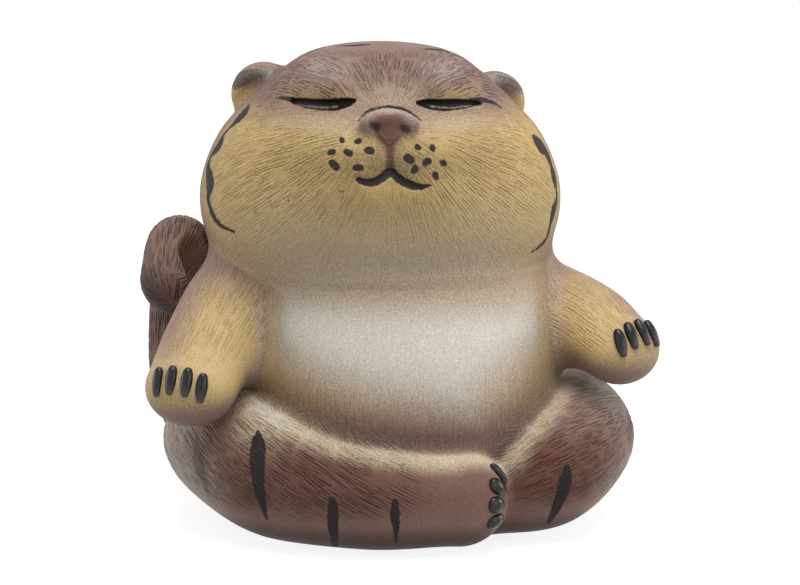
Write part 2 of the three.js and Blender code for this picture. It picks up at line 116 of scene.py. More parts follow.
# Limbs as stations on their middle line: across, along, up, girth and flatness, as shares
LIMB_STATIONS = {
    "right_arm": (
        (-0.62, 0.03, 0.93, 1.05, 1.0),
        (-0.91, -0.23, 0.878, 1.08, 1.0),
        (-1.1, -0.49, 0.73, 1.03, 0.95),
        (-1.22, -0.695, 0.6, 1.0, 0.8),
    ),
    "left_arm": (
        (0.58, 0.035, 0.85, 0.96, 1.0),
        (0.91, -0.135, 0.81, 0.97, 1.0),
        (1.14, -0.32, 0.755, 0.96, 0.95),
        (1.285, -0.475, 0.695, 0.93, 0.8),
    ),
    "right_leg": (
        (-0.655, 0.37, 1.09, 0.98, 1.0),
        (-1.01, -0.1, 1.13, 0.98, 1.0),
        (-0.75, -0.59, 1.06, 1.0, 1.0),
        (-0.19, -0.84, 0.87, 0.84, 1.0),
        (0.3, -0.89, 0.785, 0.62, 1.13),
    ),
    "left_leg": (
        (0.655, 0.37, 1.09, 0.98, 1.0),
        (1.015, -0.135, 1.17, 1.0, 1.0),
        (0.845, -0.57, 1.0, 0.905, 1.0),
        (0.385, -0.66, 0.755, 0.7, 1.0),
    ),
    "tail": (
        (-0.115, 0.78, 0.173, 1.02, 1.0),
        (-0.69, 0.965, 0.151, 1.02, 1.0),
        (-1.155, 0.76, 0.205, 0.98, 1.0),
        (-1.305, 0.54, 0.43, 0.96, 1.0),
        (-1.3, 0.51, 0.715, 0.96, 1.0),
        (-1.3, 0.28, 0.886, 1.0, 1.0),
        (-1.325, 0.045, 0.8, 1.04, 1.0),
    ),
}

# Soft swellings of the face: side offset, level as a share of the head, reach across and up, height
FACE_SWELLINGS = (
    (5.0, 0.507, 5.5, 5.5, 1.1),
    (8.6, 0.88, 5.2, 3.4, 2.0),
    (4.4, 0.86, 1.8, 2.6, -0.75),
    (14.5, 0.5, 4.5, 5.0, -0.7),
    (0.0, 0.8, 2.4, 5.0, 0.55),
    (0.0, 0.4, 4.5, 3.2, 0.5),
    (10.4, 0.71, 5.0, 2.2, 0.3),
    (10.2, 0.79, 6.2, 1.7, -0.75),
    (0.0, 0.93, 3.0, 2.8, -0.6),
)
FACE_FRONT = (0, -8)

# Lines cut into the face, in pixels of the photograph: across, down, half width
EYE_SLITS = (
    (
        (291, 99, 1.5),
        (302, 101.5, 3.5),
        (318, 103.5, 4.5),
        (334, 103.8, 5.0),
        (346, 101.8, 4.0),
        (354, 99.5, 1.5),
    ),
    (
        (418, 101.5, 1.5),
        (429, 103, 4.2),
        (443, 104, 5.0),
        (458, 103.3, 4.5),
        (470, 102, 3.0),
        (480, 101.5, 1.5),
    ),
)
MOUTH_LINE = (
    (358.5, 179.6, 2.2),
    (366, 182.4, 3.1),
    (374, 181.8, 3.5),
    (381.5, 177.8, 3.6),
    (389.5, 171.8, 3.7),
    (396, 176, 3.7),
    (402.5, 181, 3.7),
    (414.5, 186.2, 3.3),
    (423.5, 186.6, 1.9),
    (431.5, 185.2, 0.2),
)
PHILTRUM_LINE = ((390, 142, 4.0), (390, 157, 3.6), (390, 171, 3.8))
NOSE_POINT = ((389, 128, 16.0), (389.5, 134, 12.0), (389.5, 140, 7.5), (389.5, 147, 3.4))

# Lids are rolled so many pixels above the slits, with these radii along them, and let into the clay
LID_LIFT = 11
LID_ROLL = (1.0, 1.5, 1.75, 1.75, 1.5, 1.0)
LID_SINK = 1.1
SLIT_DROP = 0.6
SLIT_SINK = 0.45
SLIT_SPREAD = 0.2
PHILTRUM_LIFT = 0.25

# Brush marks, in pixels of the photograph: across, down, half width
NOSE_LINE = (
    (358, 121.5, 0.7),
    (363, 115, 1.2),
    (370, 110, 1.4),
    (387, 106.6, 1.4),
    (406, 110.2, 1.4),
    (422, 121, 0.7),
)
# Painted highlight along the lower lids: white slip where the dark slip is left off
LID_HIGHLIGHT = (
    ((295, 103.6, 0.2), (304, 105.8, 0.5), (318, 107.4, 0.6), (332, 107.2, 0.5), (343, 105.2, 0.2)),
    ((428, 105.2, 0.2), (437, 107.0, 0.5), (449, 107.9, 0.6), (461, 107.2, 0.5), (471, 105.2, 0.2)),
)
LASH_LINES = (
    ((276, 97.6, 0.8), (284, 97.8, 2.0), (294, 100.2, 3.0)),
    ((472, 101, 3.8), (482, 99.8, 2.8), (492, 102, 1.9), (501, 107, 0.8)),
)
WHISKER_SPOTS = (
    ((341.7, 139.5, 2.7), (342.3, 141.3, 2.3)),
    ((357.2, 141.6, 3.1), (358.8, 140.4, 3.0)),
    ((330.3, 152.5, 3.1), (333.7, 151.5, 2.4)),
    ((346.4, 151.7, 3.0), (349.6, 153.3, 3.8)),
    ((367.7, 150.2, 3.6), (371.5, 151.2, 3.9)),
    ((332.8, 163.4, 4.4), (336.4, 167.2, 3.9)),
    ((354.6, 167.9, 2.8), (359.8, 167.5, 3.9)),
    ((417.5, 146.8, 3.2), (418.7, 147.8, 3.0)),
    ((432.3, 146.9, 2.9), (432.9, 148.9, 3.2)),
    ((407.1, 157.8, 4.4), (410.3, 159.8, 4.8)),
    ((425.1, 162.8, 3.6), (427.9, 161.0, 4.1)),
    ((442.7, 162.9, 3.5), (444.5, 163.5, 3.1)),
    ((413.5, 171.7, 3.0), (415.1, 168.9, 4.0)),
    ((435.2, 174.7, 3.7), (436.8, 177.7, 2.6)),
)
NOSTRIL_MARKS = (
    ((372.4, 124.2, 3.0), (376.0, 126.6, 3.8)),
    ((402.8, 127.6, 3.0), (406.4, 130.0, 3.8)),
)
NOSE_FOLDS = (
    ((377.5, 132, 0.6), (383, 140, 1.0), (388.8, 146.6, 0.8)),
    ((399, 134, 0.6), (395, 140.5, 1.0), (389.6, 146.6, 0.8)),
)
FACE_STRIPES = (
    ((249, 104, 1.0), (242, 115, 4.4), (233, 124, 1.8), (223, 135, 1.4), (219, 145, 3.8), (212, 154, 2.0)),
    ((212, 154, 2.0), (208, 163, 1.6), (209, 174, 3.6), (210, 184, 4.0), (208, 198, 2.0), (211, 211, 2.0)),
    ((211, 211, 2.0), (219, 224, 2.0), (234, 232, 1.4)),
    ((211, 138, 1.6), (205, 152, 2.4), (202, 166, 1.2)),
    ((534, 136, 2.0), (541, 146, 5.2), (548, 155, 3.0), (552, 168, 2.2), (554, 176, 3.6), (556, 188, 1.4)),
    ((556, 188, 1.4), (557, 199, 1.4), (554, 209, 3.0), (550, 226, 1.4), (545, 241, 1.4), (532, 252, 1.0)),
    ((338, 46, 1.6), (352, 45.5, 2.6), (369, 44.5, 1.2)),
    ((425, 49, 1.0), (437, 49.5, 1.6), (449, 52, 0.9)),
)
RIGHT_LEG_STRIPES = (
    ((258, 432, 2.0), (258, 445, 7.4), (257, 462, 7.8), (258, 480, 6.4), (261, 498, 4.6), (267, 519, 1.0)),
    ((332, 500, 3.6), (333, 512, 5.8), (333, 526, 5.4), (335, 545, 3.4)),
    ((395, 502, 3.4), (395, 514, 4.8), (396, 527, 3.4), (396, 542, 1.2)),
)
LEFT_LEG_STRIPES = (((567, 466, 2.4), (566, 478, 6.2), (562, 494, 6.0), (555, 510, 4.2), (548, 523, 1.6)),)
FAINT_STRIPES = (
    ("right_leg", ((197, 438, 1.0), (198, 456, 4.0), (201, 472, 4.0), (207, 491, 1.0))),
    ("left_leg", ((631, 405, 0.8), (631, 422, 2.4), (628, 440, 0.8))),
)
EAR_BANDS = {
    "right_ear": ((235, 85.0, 4.4), (239, 81.4, 6.6), (247, 76.8, 7.4), (258, 75.4, 6.4), (270, 73.8, 2.6)),
    "left_ear": ((488, 76.5, 1.5), (500, 79.2, 4.4), (510, 82.8, 5.0), (519, 88.6, 3.6)),
}

# Marks out of the camera's sight: degrees from straight ahead, height, half width
NAPE_STRIPES = (
    ((126, 68, 0.3), (140, 65.5, 1.0), (156, 65, 0.7), (168, 66, 0.3)),
    ((118, 60.5, 0.3), (134, 57, 1.1), (152, 56, 0.8), (166, 57.5, 0.3)),
    ((124, 51, 0.3), (140, 48, 0.9), (156, 48.5, 0.3)),
)
BACK_STRIPES = (
    ((112, 33, 0.3), (128, 31, 1.1), (146, 32, 0.8), (158, 34, 0.3)),
    ((116, 25, 0.3), (134, 22.5, 1.2), (150, 24, 0.8), (160, 26, 0.3)),
    ((128, 16, 0.3), (142, 14, 1.0), (156, 15.5, 0.3)),
)

# The brush: steps between two stations, spill in brush widths, margins searched round a stroke
BRUSH_STEP = 4
BRUSH_SPILL = 3.0
BRUSH_MARGIN_PIXELS = 20.0
BRUSH_MARGIN = 4.0
BARE = 3.0
# A point takes a form's marks, its far stripes or its combing where it belongs to it by more than this share
PAINTED_SHARE = 0.25
STRIPED_SHARE = 0.3
COMBED_SHARE = 0.02
# A mark reaches surfaces that face the camera more than this: fully, as they turn away, and in the grooves
SEEN = 0.0
TURNED_AWAY = -0.2
IN_GROOVES = -0.8
# Glossy slip round eyes and mouth: pixels down and out from the cut, and the bare edge of the painted
# highlight on the lower lids
EYE_SLIP_DROP = 1.1
EYE_SLIP_SPREAD = 1.0
MOUTH_SLIP_SPREAD = 0.8
LID_HIGHLIGHT_EDGE = 0.07

# Claws: seats on the dome of a paw, in degrees from its tip and round it from its top
HAND_CLAW = (4.5, 1.85, 1.6)
HAND_CLAW_TILT = 58
HAND_CLAW_MIDDLE = 14
HAND_CLAW_PITCH = 24
HAND_CLAW_HANG = 0.75
FOOT_CLAWS = ((4.0, 1.4, 1.5), (3.5, 2.4, 1.7), (3.0, 2.5, 1.7), (3.0, 2.3, 1.7))
FOOT_CLAW_TILT = 39
FOOT_CLAW_START = 14
FOOT_CLAW_PITCH = 33
CLAWS_ON_PAW = 4
CLAW_RINGS = 24
CLAW_SIDES = 24
CLAW_BLUNTNESS = 0.65
CLAW_TAPER = 0.2

# Ears and nose
EARS = ("right_ear", "left_ear")
EAR_LEVEL = 0.75
EAR_TURN = {"right_ear": 22, "left_ear": 29}
EAR_DROP = {"right_ear": 0.0, "left_ear": 1.9}
EAR_DIAMETER = 10.6
EAR_THICKNESS = 4.6
EAR_SINK = 0.9
EAR_LEAN = 31
EAR_OPEN = 24
EAR_BOWL = 7.4
EAR_BOWL_DEPTH = 1.7
EAR_BOWL_SHIFT = 0.6
NOSE_LEVEL = 0.675
NOSE_LOBES = (
    ((-2.7, 0.85, 0.35), (1.75, 1.2, 1.75)),
    ((2.7, 0.85, 0.35), (1.75, 1.2, 1.75)),
    ((0.0, 1.5, 0.75), (3.2, 1.3, 1.8)),
)
NOSE_WEDGE = ((0.0, 0.7, 0.25, 2.6), (0.0, -2.8, 0.1, 0.5))
NOSE_FLATNESS = 1.35
NOSTRILS = (((-2.1, -0.3, 1.6), (0.75, 0.6, 1.1)), ((2.25, -0.4, 1.6), (0.75, 0.6, 1.1)))

# Underside
VENT_RADIUS = 3.5
VENT_SETBACK = 11.0
VENT_DEPTH = 8.0
BASE_HUB = (0.0, VENT_SETBACK, 18.0)
BASE_INSET = 4.15
BASE_SEAM = 0.4

# How far the outsides of the legs are drawn in towards the foot, between which heights and turns
LEG_TUCK = 1.5
LEG_TUCK_HEIGHTS = (15, 3)
LEG_TUCK_TURNS = (40, 75)

# Painted light on the tops of the knees: place, then amounts of yellow and white
KNEE_LIGHTS = {"right_leg": ((-20.0, -22.0, 21.5), 0.8, 0.55), "left_leg": ((31.0, -10.0, 21.0), 0.0, 0.4)}
KNEE_LIGHT_REACH = 5.5

# Hollow pressed into the side of the tail's club
TAIL_DISH_SHIFT = (4.0, -4.6, 0.9)
TAIL_DISH_SIZE = (3.6, 3.9, 9.2)
TAIL_DISH_SKIN = 0.35
# Middle of the dark slip on the tail's end, from its last station, and how it is stretched upwards
SMOKE_SHIFT = (-3.5, -1.5, -3.5)
SMOKE_STRETCH = (1.0, 1.0, 1.5)
SMOKE_GAPS = (5.5, 2.5)

# How softly the potter's thumb closed each joint
JOINT_ARM = 4.4
JOINT_NECK = 4.5
JOINT_LEG = 1.8
JOINT_ANKLES = 0.9
JOINT_PAW = 1.3
JOINT_TAIL = 0.8
JOINT_EAR = 1.6
JOINT_NOSE = 0.7
JOINT_NOSE_LOBES = 1.0
JOINT_LID = 1.6

# How softly each cut's edge was wiped
EDGE_FOOT = 0.8
EDGE_BASE_SEAM = 0.2
EDGE_VENT = 0.5
EDGE_EAR = 0.7
EDGE_NOSTRIL = 0.4
EDGE_DISH = 1.2
EDGE_EYE = 0.25
EDGE_MOUTH = 0.4
EDGE_PHILTRUM = 0.8

# Clay worked round a cut, a lid, an ear or the nose, and the tail's hollow, and left free round the figure
CUT_MARGIN = 4
LID_MARGIN = 5
SEAT_MARGIN = 9
DISH_MARGIN = 10
CLAY_MARGIN = 1.5

# Soft edges of the sprays, from none to full: heights and gaps in millimetres, slopes as the upward share
# of a normal, turns in degrees from straight ahead
CHEEK_HEIGHTS = (66.8, 61.5)
CHEEK_TURNS = (96, 66)
THROAT_HEIGHTS = (40, 50)
CHIN_HEIGHTS = (57, 41)
CHIN_TURNS = (75, 25)
LID_TURNS = (60, 40)
BROW_TURNS = (75, 45)
MUZZLE_TURNS = (80, 50)
# Painted shade over the upper lip
LIP_SHADE_HEIGHTS = (54.5, 57.0)
CROWN_COMB_HEIGHTS = (65, 68)
CHIN_COMB_HEIGHTS = (56, 44)
TOP_COMB_HEIGHTS = (73.7, 72.5)
NOSE_PANEL_WIDTHS = (3.0, 1.4)
NOSE_PANEL_HEIGHTS = (2.2, 0.8)
NOSE_TOP_HEIGHTS = (0.9, 2.2)
FRONT_TURNS = (80, 46)
BELLY_LEG_GAPS = (2.4, 12.5)
BELLY_ARM_GAPS = (0.8, 5.9)
BELLY_HEIGHTS = (40.0, 33.5)
FLANK_HEIGHTS = (17, 28)
CREASE_HEIGHTS = (36.5, 33)
FOLD_SHADE_GAPS = (6.5, 0.5)
FOLD_LINE_GAPS = (1.8, 0.2)
ARM_UNDER_SLOPES = (0.1, -0.75)
ARM_OUTER_SLOPES = (0.1, 0.75)
ARM_OUTER_HEIGHTS = (22, 34)
ARM_LIT_SLOPES = (-0.45, 0.3)
# Painted light on the tops of the paws
PAW_LIGHT_SLOPES = (0.2, 0.7)
PAW_LIGHT_HEIGHTS = (31, 27)
ARM_FRONT_SLOPES = (0.2, 0.6)
ARM_COMB_SLOPES = (-0.4, 0.1)
ARM_COMB_HEIGHTS = (25, 33)
SHOULDER_HEIGHTS = (45, 33)
ARMPIT_GAPS = (4.6, 0.2)
ARMPIT_PALE_GAPS = (4.5, 0.3)
LAP_GAPS = (4.6, 1.8)
LAP_SHADE_GAPS = (0.1, 1.4)
# Painted shade in the lap, under the belly
LAP_SHADE_LINE_GAPS = (1.2, 0.2)
LAP_SLOPES = (0.05, 0.5)
LAP_TURNS = (118, 85)
# Painted light: paler slip on the outsides of the legs, where light from below and the sides falls
LEG_SIDE_LIGHT_TURNS = (42, 72)
LEG_SIDE_LIGHT_HEIGHTS = {"right_leg": (17, 10), "left_leg": (14, 7)}
LEG_BACK_TURNS = (112, 82)
KNEE_SIDE_LIGHT_TURNS = (54, 74)
KNEE_SIDE_LIGHT_HEIGHTS = (27, 17)
KNEE_LIGHT_SLOPES = (0.0, 0.4)
FOOT_HEIGHTS = (6.0, 2.2)
# Painted shade on the front of the foot
FOOT_SHADE_TURNS = (80, 50)
LEG_COMB_HEIGHTS = (4.0, 9.0)
LEG_RED_LOW = (5, 10)
LEG_RED_HIGH = (20, 15)
LEG_RED_TURNS = (72, 45)
TOE_COMB_GAPS = (6, 15)
TOE_RED_GAPS = (5, 12)
EAR_BOWL_SLOPES = (0.0, 0.5)
EAR_YELLOW_HEIGHTS = (2.2, 0.4)
EAR_PALE_HEIGHTS = (-0.3, 0.9)
# Painted light deep in the ears' bowls and painted shade at their rims, across the dark bands
EAR_BAND_SHADING_REACHES = (1.8, 4.4)

# The most of each slip, iron, painted shade and combing that a point can hold
MOST_SLIP = {"yellow": 1.5, "white": 1.5, "wash": 1.5, "hair": 1.5, "soft_ink_and_shade": 1.0}

# Round patches on both sides of the face: side offset, height, reach across and reach up. The patches beside
# the muzzle and over the upper lip place painted shade
FACE_SPOTS = {
    "bridge": (0.0, 67.2, 6.5, 2.4),
    "lids": (10.5, 67.4, 4.5, 1.4),
    "brows": (8.5, 71.3, 4.0, 1.4),
    "under_eyes": (9.5, 63.9, 6.5, 1.6),
    "shade_beside_muzzle": (14.5, 57.0, 5.0, 5.0),
    "muzzle": (0.0, 57.0, 8.0, 4.5),
    "upper_lip_shade": (0.0, 58.3, 9.0, 3.2),
}
# The yellow of the jowls draws in below this height: depth, and degrees for each millimetre
JOWL_HEIGHT = 52
JOWL_DEPTH = 12
JOWL_DRAW = 1.6
# The belly's middle, how its top slants to the tiger's left, and how near the left leg counts
BELLY_MIDDLE = 1.8
BELLY_SLANT = 0.09
LEFT_LEG_NEARNESS = 0.8
# Shadows in the crease of the arms and at the neck
CREASE_REACH = 1.1
NECK_LINE_HEIGHT = 39.7
NECK_LINE_REACH = 0.7
# Ways of the comb: out from the nose in front and down behind, drooping on the right leg,
# and out from a point at the heel on the front of the left one
COMB_BEHIND = (-12, 4)
COMB_DROOP = 0.45
HEEL_SHIFT = (-2.0, -4.0, -3.0)
SHIN_FRONT = (0, -8)
# How strongly the slips of the lap reach each leg
LEG_SPRAY = {"right_leg": 1.0, "left_leg": 0.8}

# Distances held in the clay, the comb's draws and broad waves, and the wall inside an open edge
BAND = 6.0
COMB_SEED = 20
COMB_SHIFT = 400
COMB_WAVE = 1.05
COMB_WAVE_DEPTH = 0.08
COMB_SWAY = 1.3
COMB_SWAY_LENGTH = 9.0
RIM_WALL = 0.8
FORMS = (
    "head",
    "trunk",
    "right_arm",
    "left_arm",
    "right_leg",
    "left_leg",
    "tail",
    "right_ear",
    "left_ear",
    "nose",
)
PIECES = FORMS + ("crown", "back", "base")
CROWN_SEAM = 4.0
BACK_SEAM = -8.0
VENT_SKIN = 0.6
FOOT_SKIN = 0.6

# How far brushed marks, smoked slip with the painted shade sprayed in it, and specks of the clay cover what
# is under them
BRUSHED_COVER = 0.985
SMOKE_AND_SHADE_COVER = 0.8
SPECK_COVER = 0.46

# Drops of the sprayed slips for each millimetre
YELLOW_DROPS = 4.4
WHITE_DROPS = 4.8
SMOKE_DROPS = 4.0

# How noise becomes drops, ragged brush marks, iron stains and specks: a factor, then what is added
DROP_CONTRAST = (5.0, -2.5)
RAGGED_EDGE = (0.44, -0.22)
BRUSH_EDGE = (-6.0, 0.6)
BRUSH_SKIP = -0.1
STAIN_CONTRAST = (3.2, -1.1)
SPECK_CONTRAST = (16.0, -13.4)
IRON_CONTRAST = (0.25, 0.75)

# Combed lines: how they wander, narrow and fade, how sharply tufts part, and the flat clay between tufts
HAIR_WANDER = 9.0
HAIR_NARROWNESS = 1.3
HAIR_FADE = (3.4, -0.8)
TUFT_PARTING = 3.0
FLAT_IN_LINES = 0.009
FLAT_IN_WAVES = 0.04

# Tone, roughness and relief of the fired skin, and what combing, grain, brush marks and gloss add. The
# combing darkens the colour in its grooves: partly dry-brushed colour, partly painted shade
SKIN_TONE = 0.67
COMB_SHADE = 0.5
GRAIN_TONE = 0.85
SKIN_ROUGHNESS = 0.48
GRAIN_ROUGHNESS = 0.2
BRUSH_ROUGHNESS = 0.16
GLOSS_ROUGHNESS = -0.2
GRAIN_RELIEF = 0.14
SKIN_SHINE = 0.2
CLAW_ROUGHNESS = 0.1
CLAW_SHINE = 0.35
CLAW_RELIEF = 0.00003

# Stage, in metres: floor, sky and softboxes by place, size and power
FLOOR_REACH = 4
FLOOR_SHADES = (0.33, 0.37)
FLOOR_GLOW = 0.86
SKY_LIGHT = 0.38
SKY_SEEN = 0.62
LAMP_AIM = (0, 0, 0.035)
SOFTBOXES = {
    "Overhead softbox": ((0.05, -0.2, 0.66), 0.45, 3.5),
    "Left softbox": ((-0.55, -0.45, 0.25), 0.4, 0.2),
    "Right softbox": ((0.5, -0.5, 0.22), 0.4, 1.0),
    "Left bounce": ((-0.6, 0.1, 0.12), 0.3, 0.9),
    "Right bounce": ((0.6, 0.1, 0.12), 0.3, 1.0),
}


def mm(length):
    return length * 1000.0


def metres(points):
    return np.asarray(points, float) / 1000.0


def linear(red, green, blue):
    """A colour given as it looks on a screen, as the renderer's linear colour."""
    return tuple(((c / 255 + 0.055) / 1.055) ** 2.4 for c in (red, green, blue))


def length_setting(name, description, default):
    """A length in metres that a user may change."""
    return FloatProperty(name=name, description=description, default=default, unit="LENGTH")


def colour_setting(name, description, red, green, blue):
    """A colour that a user may change, given as it looks on a screen."""
    default = linear(red, green, blue)
    return FloatVectorProperty(name=name, description=description, default=default, subtype="COLOR")


class TeaPetSizes(bpy.types.PropertyGroup):
    """Sizes of the figure and its sculpting."""

    trunk_width: length_setting("Trunk width", "Across the hips of the trunk", 0.052)
    belly_reach: length_setting("Belly reach", "Middle of the trunk to the belly", 0.0296)
    back_reach: length_setting("Back reach", "Middle of the trunk to the back", 0.027)
    neck_height: length_setting("Neck height", "Seam between trunk and head", 0.0405)
    head_width: length_setting("Head width", "Across the cheeks", 0.0558)
    head_height: length_setting("Head height", "Neck seam to crown", 0.0335)
    face_reach: length_setting("Face reach", "Middle of the head to the muzzle", 0.0292)
    nape_reach: length_setting("Nape reach", "Middle of the head to the nape", 0.0268)
    head_offset: length_setting("Head offset", "Head off the middle", -0.0025)
    arm_diameter: length_setting("Arm diameter", "Thickness of an arm", 0.0146)
    leg_diameter: length_setting("Leg diameter", "Thickness of a leg", 0.0212)
    tail_diameter: length_setting("Tail diameter", "Thickness of the tail", 0.0106)
    tail_height: length_setting("Tail height", "Top of the tail's curl", 0.0463)
    clay_cell: length_setting("Clay cell", "Fineness of the sculpted skin", 0.00032)
    tuft_size: length_setting("Tuft size", "Length of one stroke of the comb", 0.0048)


class TeaPetFinish(bpy.types.PropertyGroup):
    """Colours and textures of clay and slips."""

    brown_clay: colour_setting("Brown clay", "Purplish brown body", 137, 110, 100)
    red_clay: colour_setting("Red clay", "Iron-rich patches of the body", 92, 56, 45)
    yellow_slip: colour_setting("Yellow slip", "Ochre sprayed on face and arms", 193, 165, 109)
    white_slip: colour_setting("White slip", "Pale grey sprayed on the belly", 203, 197, 185)
    # Also the colour of the painted shade in creases, folds, beside the muzzle, on the upper lip and on the
    # feet
    dark_slip: colour_setting("Dark slip", "Black-brown of the brush marks", 40, 33, 35)
    glossy_slip: colour_setting("Glossy slip", "Black slip in eyes and mouth", 12, 10, 10)
    claw_slip: colour_setting("Claw slip", "Black slip on the claws", 22, 19, 20)
    thin_claw_slip: colour_setting("Thin claw slip", "Browner where the brush lifted", 74, 57, 60)
    hair_spacing: length_setting("Hair spacing", "Between combed lines", 0.00048)
    hair_length: length_setting("Hair length", "Length of a combed line", 0.005)
    hair_depth: length_setting("Hair depth", "Depth of a combed line", 0.00018)


def through(values, place):
    """Smoothly joins rows of numbers: the row at a place counted in whole steps along them."""
    values = np.asarray(values, float)
    last = len(values) - 1
    i = np.clip(np.floor(place).astype(int), 0, last - 1)
    f = (place - i)[:, None]
    before = values[np.maximum(i - 1, 0)]
    after = values[np.minimum(i + 2, last)]
    a = values[i]
    b = values[i + 1]
    bend = 2 * before - 5 * a + 4 * b - after
    turn = 3 * a - before - 3 * b + after
    return a + 0.5 * f * (b - before + f * (bend + f * turn))


def skin(rings, first_pole, last_pole):
    """Points and triangles of a closed skin over a stack of rings."""
    count, sides = rings.shape[:2]
    points = np.vstack([rings.reshape(-1, 3), first_pole, last_pole])
    first = count * sides
    last = first + 1
    j = np.arange(sides)
    k = (j + 1) % sides
    low = (np.arange(count - 1) * sides)[:, None]
    a, b, c, d = (low + j, low + k, low + sides + k, low + sides + j)
    walls = [np.stack([a, b, c], -1).reshape(-1, 3), np.stack([a, c, d], -1).reshape(-1, 3)]
    end = (count - 1) * sides
    caps = [
        np.stack([np.full(sides, first), k, j], -1),
        np.stack([np.full(sides, last), end + j, end + k], -1),
    ]
    return points, np.vstack(walls + caps)


def sized(outline, low, height, half, front, back):
    """An outline's rows in millimetres: height, half width, front and back reach."""
    rows = np.array(outline) * [height, half, front, back]
    rows[:, 0] += low
    return rows


def outline_points(section, centre_x, angle):
    """Points of squared-off sections at angles round the upright axis."""
    c = np.cos(angle)
    s = np.sin(angle)
    power = 2 / SECTION_POWER
    reach = np.where(s < 0, section[..., 2], section[..., 3])
    across = centre_x + section[..., 1] * np.sign(c) * np.abs(c) ** power
    along = reach * np.sign(s) * np.abs(s) ** power
    return np.stack([across, along, np.broadcast_to(section[..., 0], across.shape)], -1)


def loft(rows, centre_x, top, rings=120, sides=180):
    """A closed form through an outline's rows, with a rounded top."""
    pole = np.array([[top, 0.0, 0.0, 0.0]])
    ghost = rows[-1:] * [1, -1, -1, -1]
    section = through(np.vstack([rows, pole, ghost]), np.arange(rings) / rings * len(rows))
    angle = np.linspace(0, 2 * np.pi, sides, endpoint=False)
    points = outline_points(section[:, None, :], centre_x, angle[None, :])
    return skin(points, (centre_x, 0, rows[0, 0]), (centre_x, 0, top))


def limb_frames(stations, steps):
    """Middle line of a limb with its tangents, upward and sideways directions and two radii."""
    at = stations[:, :3]
    points = np.vstack([2 * at[0] - at[1], at, 2 * at[-1] - at[-2]])
    place = np.linspace(0, len(at) - 1, steps + 1)
    i = np.minimum(place.astype(int), len(at) - 2)
    f = (place - i)[:, None]
    p0, p1, p2, p3 = (points[i + k] for k in range(4))
    spans = ((p0, p1), (p1, p2), (p2, p3))
    d0, d1, d2 = (np.sqrt(np.linalg.norm(b - a, axis=1, keepdims=True)) for a, b in spans)
    t1 = ((p1 - p0) / d0 - (p2 - p0) / (d0 + d1) + (p2 - p1) / d1) * d1
    t2 = ((p2 - p1) / d1 - (p3 - p1) / (d1 + d2) + (p3 - p2) / d2) * d1
    square = 3 * (p2 - p1) - 2 * t1 - t2
    cube = 2 * (p1 - p2) + t1 + t2
    centre = p1 + f * (t1 + f * (square + f * cube))
    along = t1 + f * (2 * square + 3 * f * cube)
    along /= np.linalg.norm(along, axis=1, keepdims=True)
    up = np.array([0.0, 0.0, 1.0])
    ups = []
    for direction in along:
        up = up - direction * (up @ direction)
        up = up / np.linalg.norm(up)
        ups.append(up)
    ups = np.array(ups)
    girth = through(stations[:, 3:], place)
    return centre, along, ups, np.cross(along, ups), girth[:, 0], girth[:, 0] * girth[:, 1]


def limb(stations, steps=90, sides=56, dome=10):
    """A closed form of round or flattened sections along a smooth line, domed at both ends."""
    centre, along, up, side, wide, high = limb_frames(stations, steps)
    angle = np.linspace(0, 2 * np.pi, sides, endpoint=False)

    def ring(k, forward, size):
        spread = up[k] * high[k] * np.cos(angle)[:, None] + side[k] * wide[k] * np.sin(angle)[:, None]
        return centre[k] + along[k] * forward * high[k] + spread * size

    leans = np.arange(1, dome + 1) / (dome + 1) * np.pi / 2
    rings = [ring(0, -math.sin(a), math.cos(a)) for a in leans[::-1]]
    rings += [ring(k, 0, 1) for k in range(steps + 1)]
    rings += [ring(steps, math.sin(a), math.cos(a)) for a in leans]
    return skin(np.array(rings), centre[0] - along[0] * high[0], centre[-1] + along[-1] * high[-1])


def blend(a, b, reach):
    """Joins two distances with a fillet of about that reach."""
    near = np.maximum(reach - np.abs(a - b), 0)
    return np.minimum(a, b) - near * near / (4 * reach)


def carve(a, b, reach):
    """Cuts form b out of form a with a softened edge."""
    return -blend(-a, b, reach)


def ellipsoid(place, centre, radii):
    """Distance from an ellipsoid, good near its skin."""
    offset = [(p - c) / r for p, c, r in zip(place, centre, radii)]
    size = np.sqrt(sum(q * q for q in offset))
    steep = np.sqrt(sum((q / r) ** 2 for q, r in zip(offset, radii)))
    return size * (size - 1) / np.maximum(steep, 1e-6)


def along_line(place, line, radii):
    """Distance from a line of beads joined by cones."""
    nearest = None
    for a, b, ra, rb in zip(line[:-1], line[1:], radii[:-1], radii[1:]):
        way = b - a
        length = max(float(way @ way), 1e-9)
        share = sum((p - o) * w for p, o, w in zip(place, a, way)) / length
        share = np.clip(share, 0, 1)
        gap = np.sqrt(sum((p - o - share * w) ** 2 for p, o, w in zip(place, a, way)))
        gap = gap - (ra + share * (rb - ra))
        nearest = gap if nearest is None else np.minimum(nearest, gap)
    return nearest


def rise(low, high, value):
    """Smooth step from 0 at low to 1 at high; low may be the larger."""
    t = np.clip((value - low) / (high - low), 0, 1)
    return t * t * (3 - 2 * t)


def unit(vectors):
    return vectors / np.maximum(np.linalg.norm(vectors, axis=-1, keepdims=True), 1e-9)


